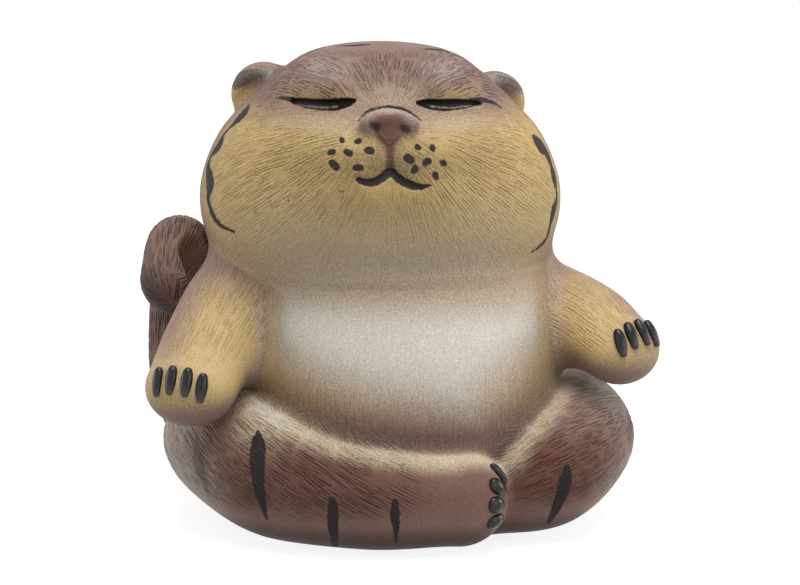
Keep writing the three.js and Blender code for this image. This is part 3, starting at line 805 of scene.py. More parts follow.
class ClayBlock:
    """A grid of cells that holds distances from the clay's skin."""

    def __init__(self, low, high, cell):
        self.cell = cell
        self.first = np.floor(np.array(low) / cell).astype(int)
        self.shape = tuple(int(n) for n in np.ceil(np.array(high) / cell).astype(int) - self.first + 1)
        self.low = self.first * cell
        axes = [(self.low[i] + cell * np.arange(self.shape[i])).astype(np.float32) for i in range(3)]
        self.axes = (axes[0][:, None, None], axes[1][None, :, None], axes[2][None, None, :])

    def form(self, mesh):
        """Distances from a closed mesh."""
        points, triangles = mesh
        field = np.empty(self.shape, np.float32)
        grid = openvdb.FloatGrid.createLevelSetFromPolygons(
            points.astype(np.float32),
            triangles=triangles.astype(np.uint32),
            transform=openvdb.createLinearTransform(voxelSize=self.cell),
            halfWidth=BAND / self.cell,
        )
        grid.copyToArray(field, ijk=tuple(int(i) for i in self.first))
        return field

    def far(self):
        return np.full(self.shape, BAND, np.float32)

    def part(self, low, high):
        """The cells between two corners, as slices, and their places."""
        start = np.clip(np.floor((np.array(low) - self.low) / self.cell).astype(int), 0, None)
        stop = np.minimum(np.ceil((np.array(high) - self.low) / self.cell).astype(int) + 1, self.shape)
        cut = tuple(slice(int(a), int(b)) for a, b in zip(start, stop))
        place = tuple(np.take(self.axes[i], range(cut[i].start, cut[i].stop), axis=i) for i in range(3))
        return cut, place

    def sample(self, field, points):
        """Distances at points between the cells."""
        q = (points - self.low) / self.cell
        i = np.clip(np.floor(q).astype(np.int64), 0, np.array(self.shape) - 2)
        x, y, z = (q - i).T
        flat = field.reshape(-1)
        row = self.shape[2]
        sheet = self.shape[1] * row
        corner = i @ np.array([sheet, row, 1])
        starts = [corner + step for step in (0, row, sheet, sheet + row)]
        edges = [flat[start] * (1 - z) + flat[start + 1] * z for start in starts]
        near = edges[0] * (1 - y) + edges[1] * y
        away = edges[2] * (1 - y) + edges[3] * y
        return near * (1 - x) + away * x

    def slope(self, field, points):
        """Outward directions at points."""
        step = np.eye(3) * self.cell * 0.75
        steps = [self.sample(field, points + s) - self.sample(field, points - s) for s in step]
        return unit(np.stack(steps, -1))

    def meet(self, field, start, way):
        """Where rays meet the skin."""
        travelled = np.zeros(len(start))
        for _ in range(RAY_STEPS):
            points = start + way * travelled[:, None]
            travelled = travelled + RAY_CAUTION * self.sample(field, points)
        return start + way * travelled[:, None]

    def skin(self, field):
        """Points and quads of the zero surface, settled on to it."""
        grid = openvdb.FloatGrid()
        grid.background = BAND
        grid.transform = openvdb.createLinearTransform(voxelSize=self.cell)
        grid.copyFromArray(field, ijk=tuple(int(i) for i in self.first))
        points, quads = grid.convertToQuads(0.0)
        points = points.astype(float)
        for _ in range(2):
            points -= self.slope(field, points) * self.sample(field, points)[:, None]
        return points, quads.astype(np.int64)


class PhotoCamera:
    """Rays of the photograph's pixels."""

    def __init__(self):
        a = math.radians(CAMERA_AZIMUTH)
        e = math.radians(CAMERA_ELEVATION)
        self.back = np.array([math.sin(a) * math.cos(e), -math.cos(a) * math.cos(e), math.sin(e)])
        self.right = np.array([math.cos(a), math.sin(a), 0.0])
        self.up = np.cross(self.back, self.right)
        self.eye = np.array(CAMERA_TARGET) + CAMERA_DISTANCE * self.back
        self.focal = PIXELS_PER_MM * CAMERA_DISTANCE

    def rays(self, pixels):
        """Starts in front of the figure, and ways, of the rays through pixels."""
        u, v = np.asarray(pixels, float).T
        way = -self.back * self.focal + np.outer(u - TARGET_PIXEL[0], self.right)
        way = unit(way + np.outer(TARGET_PIXEL[1] - v, self.up))
        return self.eye + way * (CAMERA_DISTANCE - RAY_START), way

    def pixels(self, points):
        """Where points fall on the photograph."""
        offset = points - self.eye
        depth = -offset @ self.back
        u = TARGET_PIXEL[0] + self.focal * (offset @ self.right) / depth
        v = TARGET_PIXEL[1] - self.focal * (offset @ self.up) / depth
        return u, v

    def millimetres(self, points, pixels):
        """The length at points that spans so many pixels."""
        return pixels * ((self.eye - points) @ self.back) / self.focal


@dataclass
class Sculpture:
    """The finished skin, with the piece that each face belongs to and what is painted on each point."""

    points: np.ndarray
    normals: np.ndarray
    quads: np.ndarray
    owner: np.ndarray
    paint: dict


@dataclass
class Modelling:
    """The clay while it is being worked."""

    block: ClayBlock
    fields: dict
    clay: np.ndarray
    stations: dict
    seats: dict


def limb_stations(sizes):
    """Limb stations in millimetres: place, radius, flatness."""
    heights = {
        "right_arm": (sizes.arm_diameter, sizes.neck_height),
        "left_arm": (sizes.arm_diameter, sizes.neck_height),
        "right_leg": (sizes.leg_diameter, sizes.leg_diameter / 2),
        "left_leg": (sizes.leg_diameter, sizes.leg_diameter / 2),
        "tail": (sizes.tail_diameter, sizes.tail_height),
    }
    stations = {}
    for name, (diameter, height) in heights.items():
        rows = np.array(LIMB_STATIONS[name])
        reach = np.where(rows[:, 1] < 0, sizes.belly_reach, sizes.back_reach)
        rows[:, 0] *= mm(sizes.trunk_width) / 2
        rows[:, 1] *= mm(reach)
        rows[:, 2] *= mm(height)
        rows[:, 3] *= mm(diameter) / 2
        stations[name] = rows
    return stations


def head_rows(sizes):
    return sized(
        HEAD_OUTLINE,
        mm(sizes.neck_height),
        mm(sizes.head_height),
        mm(sizes.head_width) / 2,
        mm(sizes.face_reach),
        mm(sizes.nape_reach),
    )


def trunk_rows(sizes):
    return sized(
        TRUNK_OUTLINE,
        0,
        mm(sizes.neck_height),
        mm(sizes.trunk_width) / 2,
        mm(sizes.belly_reach),
        mm(sizes.back_reach),
    )


def local(place, seat, axes):
    """Places measured along a seat's own three directions."""
    offset = [p - s for p, s in zip(place, seat)]
    return [sum(o * a for o, a in zip(offset, axis)) for axis in axes]


def swell_face(sizes, block, field):
    """Raises muzzle, brows, bridge, chin and lower lids on the front of the head."""
    x, y, z = block.axes
    relief = 0
    for side, level, reach_x, reach_z, height in FACE_SWELLINGS:
        centre = mm(sizes.neck_height + level * sizes.head_height)
        across = (np.abs(x - mm(sizes.head_offset)) - side) / reach_x
        relief = relief + height * np.exp(-(across**2) - ((z - centre) / reach_z) ** 2)
    field -= relief * rise(*FACE_FRONT, y)


def ear_seat(sizes, name):
    """Centre of an ear and its outward, facing and third directions."""
    side = 1 if name == "left_ear" else -1
    height = mm(sizes.neck_height + EAR_LEVEL * sizes.head_height) - EAR_DROP[name]
    rows = head_rows(sizes)
    place = np.linspace(0, len(rows) - 1, 2000)
    sections = through(rows, place)
    section = sections[np.searchsorted(sections[:, 0], height)]
    angle = math.radians(side * (90 + EAR_TURN[name]) - 90)
    at = outline_points(section[None], mm(sizes.head_offset), np.array([angle]))[0]
    lean = math.radians(EAR_LEAN)
    opening = math.radians(EAR_OPEN)
    out = np.array([side * math.cos(lean), 0, math.sin(lean)])
    facing = np.array([side * math.sin(opening), -math.cos(opening), 0])
    facing = unit(facing - out * (facing @ out))
    return at - out * EAR_SINK, (out, facing, np.cross(out, facing))


def ear_form(place, seat):
    """A thick disc with a bowl pressed into its face."""
    q = local(place, *seat)
    half = EAR_DIAMETER / 2
    disc = ellipsoid(q, (0, 0, 0), (half, EAR_THICKNESS / 2, half))
    middle = (EAR_BOWL_SHIFT, EAR_THICKNESS / 2, 0)
    bowl = ellipsoid(q, middle, (EAR_BOWL / 2, EAR_BOWL_DEPTH, EAR_BOWL / 2))
    return carve(disc, bowl, EDGE_EAR)


def nose_seat(sizes, block, head):
    """Where the nose sits on the head, and its ways across, up and out."""
    height = mm(sizes.neck_height + NOSE_LEVEL * sizes.head_height)
    start = np.array([[mm(sizes.head_offset), -SIDE_START, height]])
    at = block.meet(head, start, np.array([[0.0, 1.0, 0.0]]))
    out = block.slope(head, at)[0]
    across = unit(np.cross((0, 0, 1), out))
    return at[0], (across, np.cross(out, across), out)


def nose_form(place, seat):
    """A broad nose: two wings and a bridge end over a wedge that points down, pierced by two nostrils."""
    q = local(place, *seat)
    wedge = np.array(NOSE_WEDGE)
    form = along_line([q[0], q[1], q[2] * NOSE_FLATNESS], wedge[:, :3], wedge[:, 3]) / NOSE_FLATNESS
    for centre, radii in NOSE_LOBES:
        form = blend(form, ellipsoid(q, centre, radii), JOINT_NOSE_LOBES)
    for centre, radii in NOSTRILS:
        form = carve(form, ellipsoid(q, centre, radii), EDGE_NOSTRIL)
    return form


def around(points, margin):
    """Corners of a box round points."""
    points = np.atleast_2d(points)
    return points.min(0) - margin, points.max(0) + margin


def cut_face(model, camera):
    """Rolls the lids, cuts the eye slits, the mouth and the groove over the lip."""
    block = model.block

    def on_skin(line, drop=0.0):
        pixels = np.array(line, float)
        pixels[:, 1] += drop
        points = block.meet(model.clay, *camera.rays(pixels[:, :2]))
        return points, camera.millimetres(points, pixels[:, 2])

    def cut(line, half, edge):
        cells, place = block.part(*around(line, CUT_MARGIN))
        model.clay[cells] = carve(model.clay[cells], along_line(place, line, half), edge)

    for slit in EYE_SLITS:
        lid, _ = on_skin(slit, -LID_LIFT)
        lid = lid - LID_SINK * block.slope(model.clay, lid)
        cells, place = block.part(*around(lid, LID_MARGIN))
        model.clay[cells] = blend(model.clay[cells], along_line(place, lid, LID_ROLL), JOINT_LID)
    for slit in EYE_SLITS:
        line, half = on_skin(slit, SLIT_DROP)
        cut(line - SLIT_SINK * block.slope(model.clay, line), half + SLIT_SPREAD, EDGE_EYE)
    cut(*on_skin(MOUTH_LINE), EDGE_MOUTH)
    line, half = on_skin(PHILTRUM_LINE)
    cut(line + PHILTRUM_LIFT * block.slope(model.clay, line), half, EDGE_PHILTRUM)


def base_outline(sizes, x, y):
    """Distance in plan from the seam round the base, below nought inside it."""
    row = trunk_rows(sizes)[1]
    half = row[1] - BASE_INSET
    reach = np.where(y < 0, row[2], row[3]) - BASE_INSET
    size = (np.abs(x / half) ** SECTION_POWER + np.abs(y / reach) ** SECTION_POWER) ** (1 / SECTION_POWER)
    return (size - 1) * half


def finish_underside(sizes, model):
    """Flattens the foot, scores the seam of the base and bores the vent."""
    model.clay = carve(model.clay, model.block.axes[2], EDGE_FOOT)
    reach = mm(max(sizes.trunk_width / 2, sizes.belly_reach, sizes.back_reach))
    corners = ((-reach, -reach, 0.0), (reach, reach, VENT_DEPTH))
    cut, (x, y, z) = model.block.part(*around(corners, CUT_MARGIN))
    seam = np.hypot(base_outline(sizes, x, y), z) - BASE_SEAM
    model.clay[cut] = carve(model.clay[cut], seam, EDGE_BASE_SEAM)
    vent = np.maximum(np.hypot(x, y - VENT_SETBACK) - VENT_RADIUS, z - VENT_DEPTH)
    model.clay[cut] = carve(model.clay[cut], vent, EDGE_VENT)


def model_clay(sizes, camera):
    """Presses every form together and works the joints, the face and the underside."""
    cell = mm(sizes.clay_cell) * 1
    low, high = (np.array(corner) * 1000.0 for corner in cad_box)
    block = ClayBlock(low - CLAY_MARGIN, high + CLAY_MARGIN, cell)
    stations = limb_stations(sizes)
    crown = mm(sizes.neck_height + sizes.head_height)
    fields = {name: block.form(limb(rows)) for name, rows in stations.items()}
    fields["trunk"] = block.form(loft(trunk_rows(sizes), 0, mm(sizes.neck_height) * TRUNK_TOP))
    fields["head"] = block.form(loft(head_rows(sizes), mm(sizes.head_offset), crown))
    swell_face(sizes, block, fields["head"])
    x, y, z = block.axes
    turn = np.degrees(np.arctan2(np.abs(x), -y))
    tuck = LEG_TUCK * rise(*LEG_TUCK_HEIGHTS, z) * rise(*LEG_TUCK_TURNS, turn)
    for leg in ("right_leg", "left_leg"):
        fields[leg] = fields[leg] + tuck
    club = stations["tail"][-2:, :3].mean(0)
    dish = club + TAIL_DISH_SHIFT
    cut, place = block.part(*around(dish, DISH_MARGIN))
    fields["tail"][cut] = carve(fields["tail"][cut], ellipsoid(place, dish, TAIL_DISH_SIZE), EDGE_DISH)

    clay = fields["trunk"]
    for arm in ("right_arm", "left_arm"):
        clay = blend(clay, fields[arm], JOINT_ARM)
    clay = blend(clay, fields["head"], JOINT_NECK)
    legs = blend(fields["right_leg"], fields["left_leg"], JOINT_ANKLES)
    clay = np.minimum(blend(clay, legs, JOINT_PAW), blend(fields["trunk"], legs, JOINT_LEG))
    clay = blend(clay, fields["tail"], JOINT_TAIL)
    seats = {ear: ear_seat(sizes, ear) for ear in EARS}
    seats["dish"] = (dish, None)
    seats["nose"] = nose_seat(sizes, block, fields["head"])
    rows = [(ear, ear_form, JOINT_EAR) for ear in EARS] + [("nose", nose_form, JOINT_NOSE)]
    for name, form, reach in rows:
        fields[name] = block.far()
        cut, place = block.part(*around(seats[name][0], SEAT_MARGIN))
        fields[name][cut] = form(place, seats[name])
        clay[cut] = blend(clay[cut], fields[name][cut], reach)
    model = Modelling(block, fields, clay, stations, seats)
    cut_face(model, camera)
    finish_underside(sizes, model)
    return model


def smooth_stroke(stroke):
    """A stroke's stations joined by a smooth line."""
    return through(stroke, np.linspace(0, len(stroke) - 1, BRUSH_STEP * (len(stroke) - 1) + 1))


@dataclass
class PaintedSide:
    """The points of the skin, where they fall on the photograph and how far they face the camera."""

    model: Modelling
    camera: PhotoCamera
    own: dict
    points: np.ndarray
    facing: np.ndarray
    pixels: np.ndarray
    scale: np.ndarray

    def distance(self, piece, strokes, grow=0.0, facing=SEEN):
        """Millimetres from each point of a piece to the nearest of the strokes, grown by some pixels."""
        distance = np.full(len(self.facing), BARE)
        allowed = (self.own[piece] > PAINTED_SHARE) & (self.facing > facing)
        for stroke in strokes:
            line = smooth_stroke(stroke)
            low, high = around(line[:, :2], BRUSH_MARGIN_PIXELS)
            inside = np.all((self.pixels > low) & (self.pixels < high), axis=1)
            near = np.flatnonzero(allowed & inside)
            gap = along_line(self.pixels[near].T, line[:, :2], line[:, 2] + grow) * self.scale[near]
            on_skin = self.model.block.meet(self.model.clay, *self.camera.rays(line[:, :2]))
            half = self.camera.millimetres(on_skin, line[:, 2] + grow)
            spill = along_line(self.points[near].T, on_skin, half * BRUSH_SPILL)
            distance[near] = np.minimum(distance[near], np.maximum(gap, spill))
        return distance


def far_stripes(model, points, own):
    """Millimetres from each point to the nearest stripe of nape and back."""
    distance = np.full(len(points), BARE)
    rows = (("head", NAPE_STRIPES, model.seats["nose"][0][0]), ("trunk", BACK_STRIPES, 0.0))
    for piece, strokes, centre_x in rows:
        for stroke in strokes:
            degrees, height, half = smooth_stroke(stroke).T
            for side in (-1, 1):
                turn = np.radians(degrees) * side
                out = np.stack([np.sin(turn), -np.cos(turn), 0 * turn], -1)
                axis = np.stack([0 * turn + centre_x, 0 * turn, height], -1)
                line = model.block.meet(model.fields[piece], axis + out * SIDE_START, -out)
                low, high = around(line, BRUSH_MARGIN)
                inside = np.all((points > low) & (points < high), axis=1)
                near = np.flatnonzero(inside & (own[piece] > STRIPED_SHARE))
                distance[near] = np.minimum(distance[near], along_line(points[near].T, line, half))
    return distance


def brush_marks(side):
    """Millimetres to the slip of eyes and mouth, to the painted highlight on the lower lids and to the
    nearest brush mark.
    """
    rims = [[(u, v + EYE_SLIP_DROP, half) for u, v, half in slit] for slit in EYE_SLITS]
    # The dark slip of the eyes is left off along the painted highlight on the lower lids
    lid_highlight = side.distance("head", LID_HIGHLIGHT, facing=IN_GROOVES)
    eyes = side.distance("head", rims, EYE_SLIP_SPREAD, IN_GROOVES)
    eyes = np.maximum(eyes, LID_HIGHLIGHT_EDGE - lid_highlight)
    mouth = side.distance("head", (MOUTH_LINE,), MOUTH_SLIP_SPREAD, IN_GROOVES)
    rows = (
        ("head", (NOSE_LINE,)),
        ("nose", (NOSE_LINE,)),
        ("head", LASH_LINES + FACE_STRIPES),
        ("head", WHISKER_SPOTS),
        ("right_leg", RIGHT_LEG_STRIPES),
        ("left_leg", LEFT_LEG_STRIPES),
    )
    marks = [side.distance(piece, strokes) for piece, strokes in rows]
    marks.append(far_stripes(side.model, side.points, side.own))
    return eyes, mouth, lid_highlight, np.minimum.reduce([eyes, mouth, *marks])


def soft_marks(side, slips):
    """Adds thin dark slip to the painted shade already sprayed: the tail's end, faint stripes, ear bands,
    nostrils and folds of the nose.
    """
    soft = [slips["soft_ink_and_shade"], smoke(side)]
    for piece, stroke in FAINT_STRIPES:
        soft.append(0.7 * rise(0.5, -0.3, side.distance(piece, (stroke,))))
    for ear, stroke in EAR_BANDS.items():
        centre, axes = side.model.seats[ear]
        band = rise(0.15, -0.1, side.distance(ear, (stroke,), facing=TURNED_AWAY))
        # The band is paler deep in the bowl and darker out at the rim: painted light and painted shade
        # against the bowl's own shading
        rim = rise(*EAR_BAND_SHADING_REACHES, (side.points - centre) @ axes[0])
        slips["white"] = slips["white"] + (0.62 - 0.2 * rim) * band
        soft.append((0.55 + 0.36 * rim) * band)
    soft.append(rise(0.3, -0.2, side.distance("nose", NOSTRIL_MARKS, facing=IN_GROOVES)))
    for piece in ("nose", "head"):
        soft.append(0.6 * rise(0.2, -0.1, side.distance(piece, NOSE_FOLDS, facing=IN_GROOVES)))
    slips["soft_ink_and_shade"] = np.maximum.reduce(soft)


def smoke(side):
    """Dark slip that fades out round the tail's end."""
    tip = side.model.stations["tail"][-1, :3] + SMOKE_SHIFT
    away = np.linalg.norm((side.points - tip) / SMOKE_STRETCH, axis=1)
    return side.own["tail"] * rise(*SMOKE_GAPS, away) * 0.95


def paint_skin(sizes, model, camera, points, normals):
    """What is sprayed, brushed and combed on each point of the skin."""
    gaps = {name: model.block.sample(field, points) for name, field in model.fields.items()}
    own = {name: rise(1.3, 0.0, gap) + 1e-4 for name, gap in gaps.items()}
    total = sum(own.values())
    own = {name: share / total for name, share in own.items()}
    side = PaintedSide(
        model,
        camera,
        own,
        points,
        normals @ camera.back,
        np.stack(camera.pixels(points), -1),
        camera.millimetres(points, 1.0),
    )
    eyes, mouth, lid_highlight, ink = brush_marks(side)
    gloss = np.maximum(rise(0.3, -0.1, eyes), 0.5 * rise(0.3, -0.1, mouth))
    groove = side.distance("head", (PHILTRUM_LINE, NOSE_POINT), facing=IN_GROOVES)
    bare_lip = rise(0.25, -0.25, groove)
    slips = Spraying(sizes, model, points, normals, gaps).amounts(own)
    slips["yellow"] = slips["yellow"] * (1 - 0.85 * bare_lip)
    slips["wash"] = np.maximum(slips["wash"], 0.9 * bare_lip)
    # Painted highlight: white slip along the lower lids
    slips["white"] = slips["white"] + 0.55 * rise(0.25, 0.0, lid_highlight)
    slips["hair"] = slips["hair"] * (1 - gloss)
    soft_marks(side, slips)
    return {
        **{name: np.clip(values, 0, MOST_SLIP[name]) for name, values in slips.items()},
        "ink": ink,
        "gloss": gloss,
        **comb_layers(mm(sizes.tuft_size), points, normals, comb_ways(model, points, own)),
    }


def limb_gap(rows, points):
    """Distance from a limb's skin, near or far."""
    centre, _, _, _, wide, high = limb_frames(rows, steps=40)
    gap = np.full(len(points), np.inf)
    for middle, radius in zip(centre, (wide + high) / 2):
        gap = np.minimum(gap, np.linalg.norm(points - middle, axis=1) - radius)
    return gap


class Spraying:
    """Slips sprayed on each form, painted shade sprayed in dark slip, iron in its clay and depth of its
    combing.
    """

    def __init__(self, sizes, model, points, normals, gaps):
        x, y, self.z = points.T
        self.model = model
        self.points = points
        self.normals = normals
        self.gaps = gaps
        self.up = normals[:, 2]
        self.off_nose = np.abs(x - mm(sizes.head_offset))
        self.head_turn = np.degrees(np.arctan2(self.off_nose, -y))
        self.trunk_turn = np.degrees(np.arctan2(np.abs(x - BELLY_MIDDLE), -y))
        self.front = rise(*FRONT_TURNS, self.trunk_turn)
        # The dark slip sprayed here is painted shade: in creases and folds, at the neck, beside the muzzle,
        # over the upper lip and on the feet
        self.yellow, self.white, self.dark, self.wash, self.hair = ({} for _ in range(5))
        self.head()
        self.nose()
        self.trunk()
        self.arms()
        self.legs()
        self.knee_light_and_toes()
        self.tail()
        self.ears()

    def amounts(self, own):
        """Amounts at each point, blended where forms meet."""
        slips = {"yellow": self.yellow, "white": self.white, "wash": self.wash}
        slips |= {"hair": self.hair, "soft_ink_and_shade": self.dark}
        return {slip: sum(own[form] * part for form, part in row.items()) for slip, row in slips.items()}

    def spot(self, side, height, reach_across, reach_up):
        """A soft round patch on both sides of the face."""
        across = (self.off_nose - side) / reach_across
        return np.exp(-(across**2) - ((self.z - height) / reach_up) ** 2)

    def head(self):
        """Yellow cheeks under a brown crown, paler brows, lower lids and chin; painted shade beside the
        muzzle, where the yellow also thins, and on the upper lip.
        """
        z = self.z
        turn = self.head_turn
        spot = {name: self.spot(*row) for name, row in FACE_SPOTS.items()}
        jowl = JOWL_DRAW * np.clip(JOWL_HEIGHT - z, 0, JOWL_DEPTH)
        cheek = rise(*CHEEK_HEIGHTS, z) * rise(*CHEEK_TURNS, turn + jowl)
        # Less yellow beside the muzzle: painted shade where the cheeks dip behind it
        yellow = cheek * (0.5 + 0.42 * rise(*THROAT_HEIGHTS, z) - 0.1 * spot["shade_beside_muzzle"])
        self.yellow["head"] = yellow + (0.5 * spot["lids"] + 0.2 * spot["bridge"]) * rise(*LID_TURNS, turn)
        chin = 0.46 * rise(*CHIN_HEIGHTS, z) * rise(*CHIN_TURNS, turn)
        pale = 0.2 * spot["bridge"] + 0.26 * spot["brows"] + 0.22 * spot["under_eyes"]
        self.white["head"] = chin + pale * rise(*BROW_TURNS, turn)
        muzzle = rise(*MUZZLE_TURNS, turn)
        # Painted shade beside the muzzle and over the upper lip
        upper_lip_shade = spot["upper_lip_shade"] * rise(*LIP_SHADE_HEIGHTS, z) * muzzle
        self.dark["head"] = 0.12 * spot["shade_beside_muzzle"] * rise(*CHEEK_TURNS, turn) + 0.75 * upper_lip_shade
        self.wash["head"] = 0.25
        comb = 0.8 + 0.5 * rise(*CROWN_COMB_HEIGHTS, z) - 0.54 * rise(*CHIN_COMB_HEIGHTS, z)
        comb = comb * (0.15 + 0.85 * rise(*TOP_COMB_HEIGHTS, z)) * (1 - 0.55 * spot["bridge"])
        self.hair["head"] = comb * (1 - 0.65 * spot["muzzle"] * muzzle) * (1 - 0.75 * spot["under_eyes"])

    def nose(self):
        """Redder in the middle, paler on the wings and along the top."""
        across, up, _ = local(self.points.T, *self.model.seats["nose"])
        panel = rise(*NOSE_PANEL_WIDTHS, np.abs(across)) * rise(*NOSE_PANEL_HEIGHTS, up)
        self.wash["nose"] = 0.3 + 0.6 * panel
        self.white["nose"] = 0.2 * rise(*NOSE_TOP_HEIGHTS, up) + 0.16 * (1 - panel)

    def trunk(self):
        """A pale belly that fades to brown at the sides, and shadows in the folds round it."""
        z = self.z
        front = self.front
        arms = np.minimum(self.gaps["right_arm"], self.gaps["left_arm"])
        right, left = (limb_gap(self.model.stations[leg], self.points) for leg in LEG_SPRAY)
        legs = np.minimum(right, LEFT_LEG_NEARNESS * left)
        belly = front * rise(*BELLY_LEG_GAPS, legs) * (0.2 + 0.8 * rise(*BELLY_ARM_GAPS, arms))
        slanted = z + BELLY_SLANT * np.maximum(self.points[:, 0], 0)
        white = belly * (0.3 + 0.7 * rise(*BELLY_HEIGHTS, slanted))
        self.white["trunk"] = white
        self.yellow["trunk"] = 0.6 * front * rise(*FLANK_HEIGHTS, z) * (1 - 0.7 * white)
        crease = np.exp(-(((self.gaps["trunk"] - arms) / CREASE_REACH) ** 2))
        crease = 0.3 * crease * rise(*CREASE_HEIGHTS, z) * front
        neck_line = 0.14 * np.exp(-(((z - NECK_LINE_HEIGHT) / NECK_LINE_REACH) ** 2)) * front
        fold = np.maximum(0.5 * rise(*FOLD_SHADE_GAPS, legs), 0.75 * rise(*FOLD_LINE_GAPS, legs)) * front
        self.dark["trunk"] = np.maximum.reduce([fold, crease, neck_line])
        self.dark["head"] = np.maximum(self.dark["head"], neck_line)
        self.dark["right_arm"] = crease
        self.dark["left_arm"] = crease
        self.hair["trunk"] = 0.4 - 0.26 * belly

    def arms(self):
        """Yellow above and in front, brown outside, underneath and at the shoulders, and painted light on
        the tops of the paws.
        """
        z = self.z
        gap = self.gaps["trunk"]
        across, along, up = self.normals.T
        under = rise(*ARM_UNDER_SLOPES, up)
        armpit = rise(*ARMPIT_GAPS, gap)
        pale = 0.2 * rise(*ARMPIT_PALE_GAPS, gap) * rise(*ARM_FRONT_SLOPES, -along)
        # Painted light: white slip on the upward faces of the paws
        pale = pale + 0.12 * rise(*PAW_LIGHT_HEIGHTS, z) * rise(*PAW_LIGHT_SLOPES, up)
        for arm, side in (("right_arm", -1), ("left_arm", 1)):
            lit = self.normals @ unit(np.array([0.1 * side, -0.6, 0.75]))
            outer = rise(*ARM_OUTER_SLOPES, across * side) * rise(*ARM_OUTER_HEIGHTS, z)
            yellow = rise(*ARM_LIT_SLOPES, lit) * rise(*SHOULDER_HEIGHTS, z)
            self.yellow[arm] = yellow * (1 - 0.85 * outer) * (1 - under) * (1 - 0.6 * armpit)
            self.white[arm] = 0.08 + pale
            self.wash[arm] = 0.2 * under
            self.hair[arm] = 0.65 * rise(*ARM_COMB_SLOPES, up) * (0.1 + 0.9 * rise(*ARM_COMB_HEIGHTS, z))

    def legs(self):
        """Brown and red, with a yellow edge along the lap; painted light on the outsides; painted shade
        under the belly and on the foot.
        """
        z = self.z
        turn = self.trunk_turn
        gap = self.gaps["trunk"]
        lap = rise(*LAP_GAPS, gap) * rise(*LAP_SLOPES, self.up) * rise(*LAP_TURNS, turn)
        lap = lap * (0.3 + 0.7 * rise(*LAP_SHADE_GAPS, gap))
        foot = rise(*FOOT_HEIGHTS, z)
        red = np.maximum(rise(*LEG_RED_LOW, z), 0.9 * foot) * rise(*LEG_RED_HIGH, z)
        # Painted shade under the belly and on the front of the foot
        shade_under_belly = 0.4 * rise(*LAP_SHADE_LINE_GAPS, gap) * self.front
        shade = np.maximum(shade_under_belly, 0.78 * foot * rise(*FOOT_SHADE_TURNS, turn))
        for leg, strength in LEG_SPRAY.items():
            # Painted light: paler slip on the outsides of the legs
            side = rise(*LEG_SIDE_LIGHT_TURNS, turn) * rise(*LEG_SIDE_LIGHT_HEIGHTS[leg], z)
            if leg == "right_leg":
                side = np.maximum(side, 0.85 * rise(*KNEE_SIDE_LIGHT_TURNS, turn) * rise(*KNEE_SIDE_LIGHT_HEIGHTS, z))
            side = side * rise(*LEG_BACK_TURNS, turn)
            self.yellow[leg] = 0.58 * strength * lap
            self.white[leg] = 0.42 * strength * lap + 0.6 * side * (1 - 0.75 * foot)
            self.dark[leg] = shade
            self.wash[leg] = 0.1 + 0.9 * red * rise(*LEG_RED_TURNS, turn)
            self.hair[leg] = 1.15 * rise(*LEG_COMB_HEIGHTS, z) * (1 - 0.4 * lap)

    def knee_light_and_toes(self):
        """Painted light on the tops of the knees, and smoother clay round the toes."""
        for leg, (place, yellow, white) in KNEE_LIGHTS.items():
            away = np.linalg.norm(self.points - place, axis=1) / KNEE_LIGHT_REACH
            # Painted light on the upward faces of the knees
            lit_knee = np.exp(-(away**2)) * rise(*KNEE_LIGHT_SLOPES, self.up)
            self.yellow[leg] = self.yellow[leg] + yellow * lit_knee
            self.white[leg] = self.white[leg] + white * lit_knee
        toes = np.linalg.norm(self.points - self.model.stations["right_leg"][-1, :3], axis=1)
        self.hair["right_leg"] = self.hair["right_leg"] * rise(*TOE_COMB_GAPS, toes)
        self.wash["right_leg"] = self.wash["right_leg"] * (0.5 + 0.5 * rise(*TOE_RED_GAPS, toes))

    def tail(self):
        """Deeply combed and smoother in its hollow, with yellow there as painted light that lifts the
        hollow's shade.
        """
        hollow = np.array(TAIL_DISH_SIZE) + TAIL_DISH_SKIN
        in_dish = rise(0.6, 0.0, ellipsoid(self.points.T, self.model.seats["dish"][0], hollow))
        # Painted light: yellow slip lightens the shaded hollow
        self.yellow["tail"] = 0.14 * in_dish
        self.wash["tail"] = 0.3
        self.hair["tail"] = 1.5 - 0.8 * in_dish

    def ears(self):
        """Yellow low in the bowl and paler above."""
        for ear in EARS:
            centre, axes = self.model.seats[ear]
            height = self.z - centre[2]
            bowl = rise(*EAR_BOWL_SLOPES, self.normals @ axes[1])
            self.yellow[ear] = 0.9 * bowl * rise(*EAR_YELLOW_HEIGHTS, height)
            self.white[ear] = 0.12 * bowl * rise(*EAR_PALE_HEIGHTS, height)
            self.hair[ear] = 0.2


def comb_ways(model, points, own):
    """The way the comb was drawn at each point."""
    down = np.array([0.0, 0.0, -1.0])
    behind = rise(*COMB_BEHIND, points[:, 1])[:, None]
    from_nose = unit(points - model.seats["nose"][0])
    ways = own["head"][:, None] * (from_nose * (1 - behind) + down * behind)
    ways = ways + (own["trunk"] + own["nose"])[:, None] * down
    heel = model.stations["left_leg"][-1, :3] + HEEL_SHIFT
    for name, rows in model.stations.items():
        some = np.flatnonzero(own[name] > COMBED_SHARE)
        centre, along, *_ = limb_frames(rows, steps=30)
        gap = sum((points[some, k, None] - centre[None, :, k]) ** 2 for k in range(3))
        way = along[np.argmin(gap, axis=1)]
        if name == "right_leg":
            way = way + COMB_DROOP * down
        if name == "left_leg":
            front = rise(*SHIN_FRONT, points[some, 1])[:, None]
            way = unit(points[some] - heel) * front - way * (1 - front)
        ways[some] += own[name][some, None] * way
    for ear in EARS:
        ways = ways + own[ear][:, None] * model.seats[ear][1][0]
    return ways


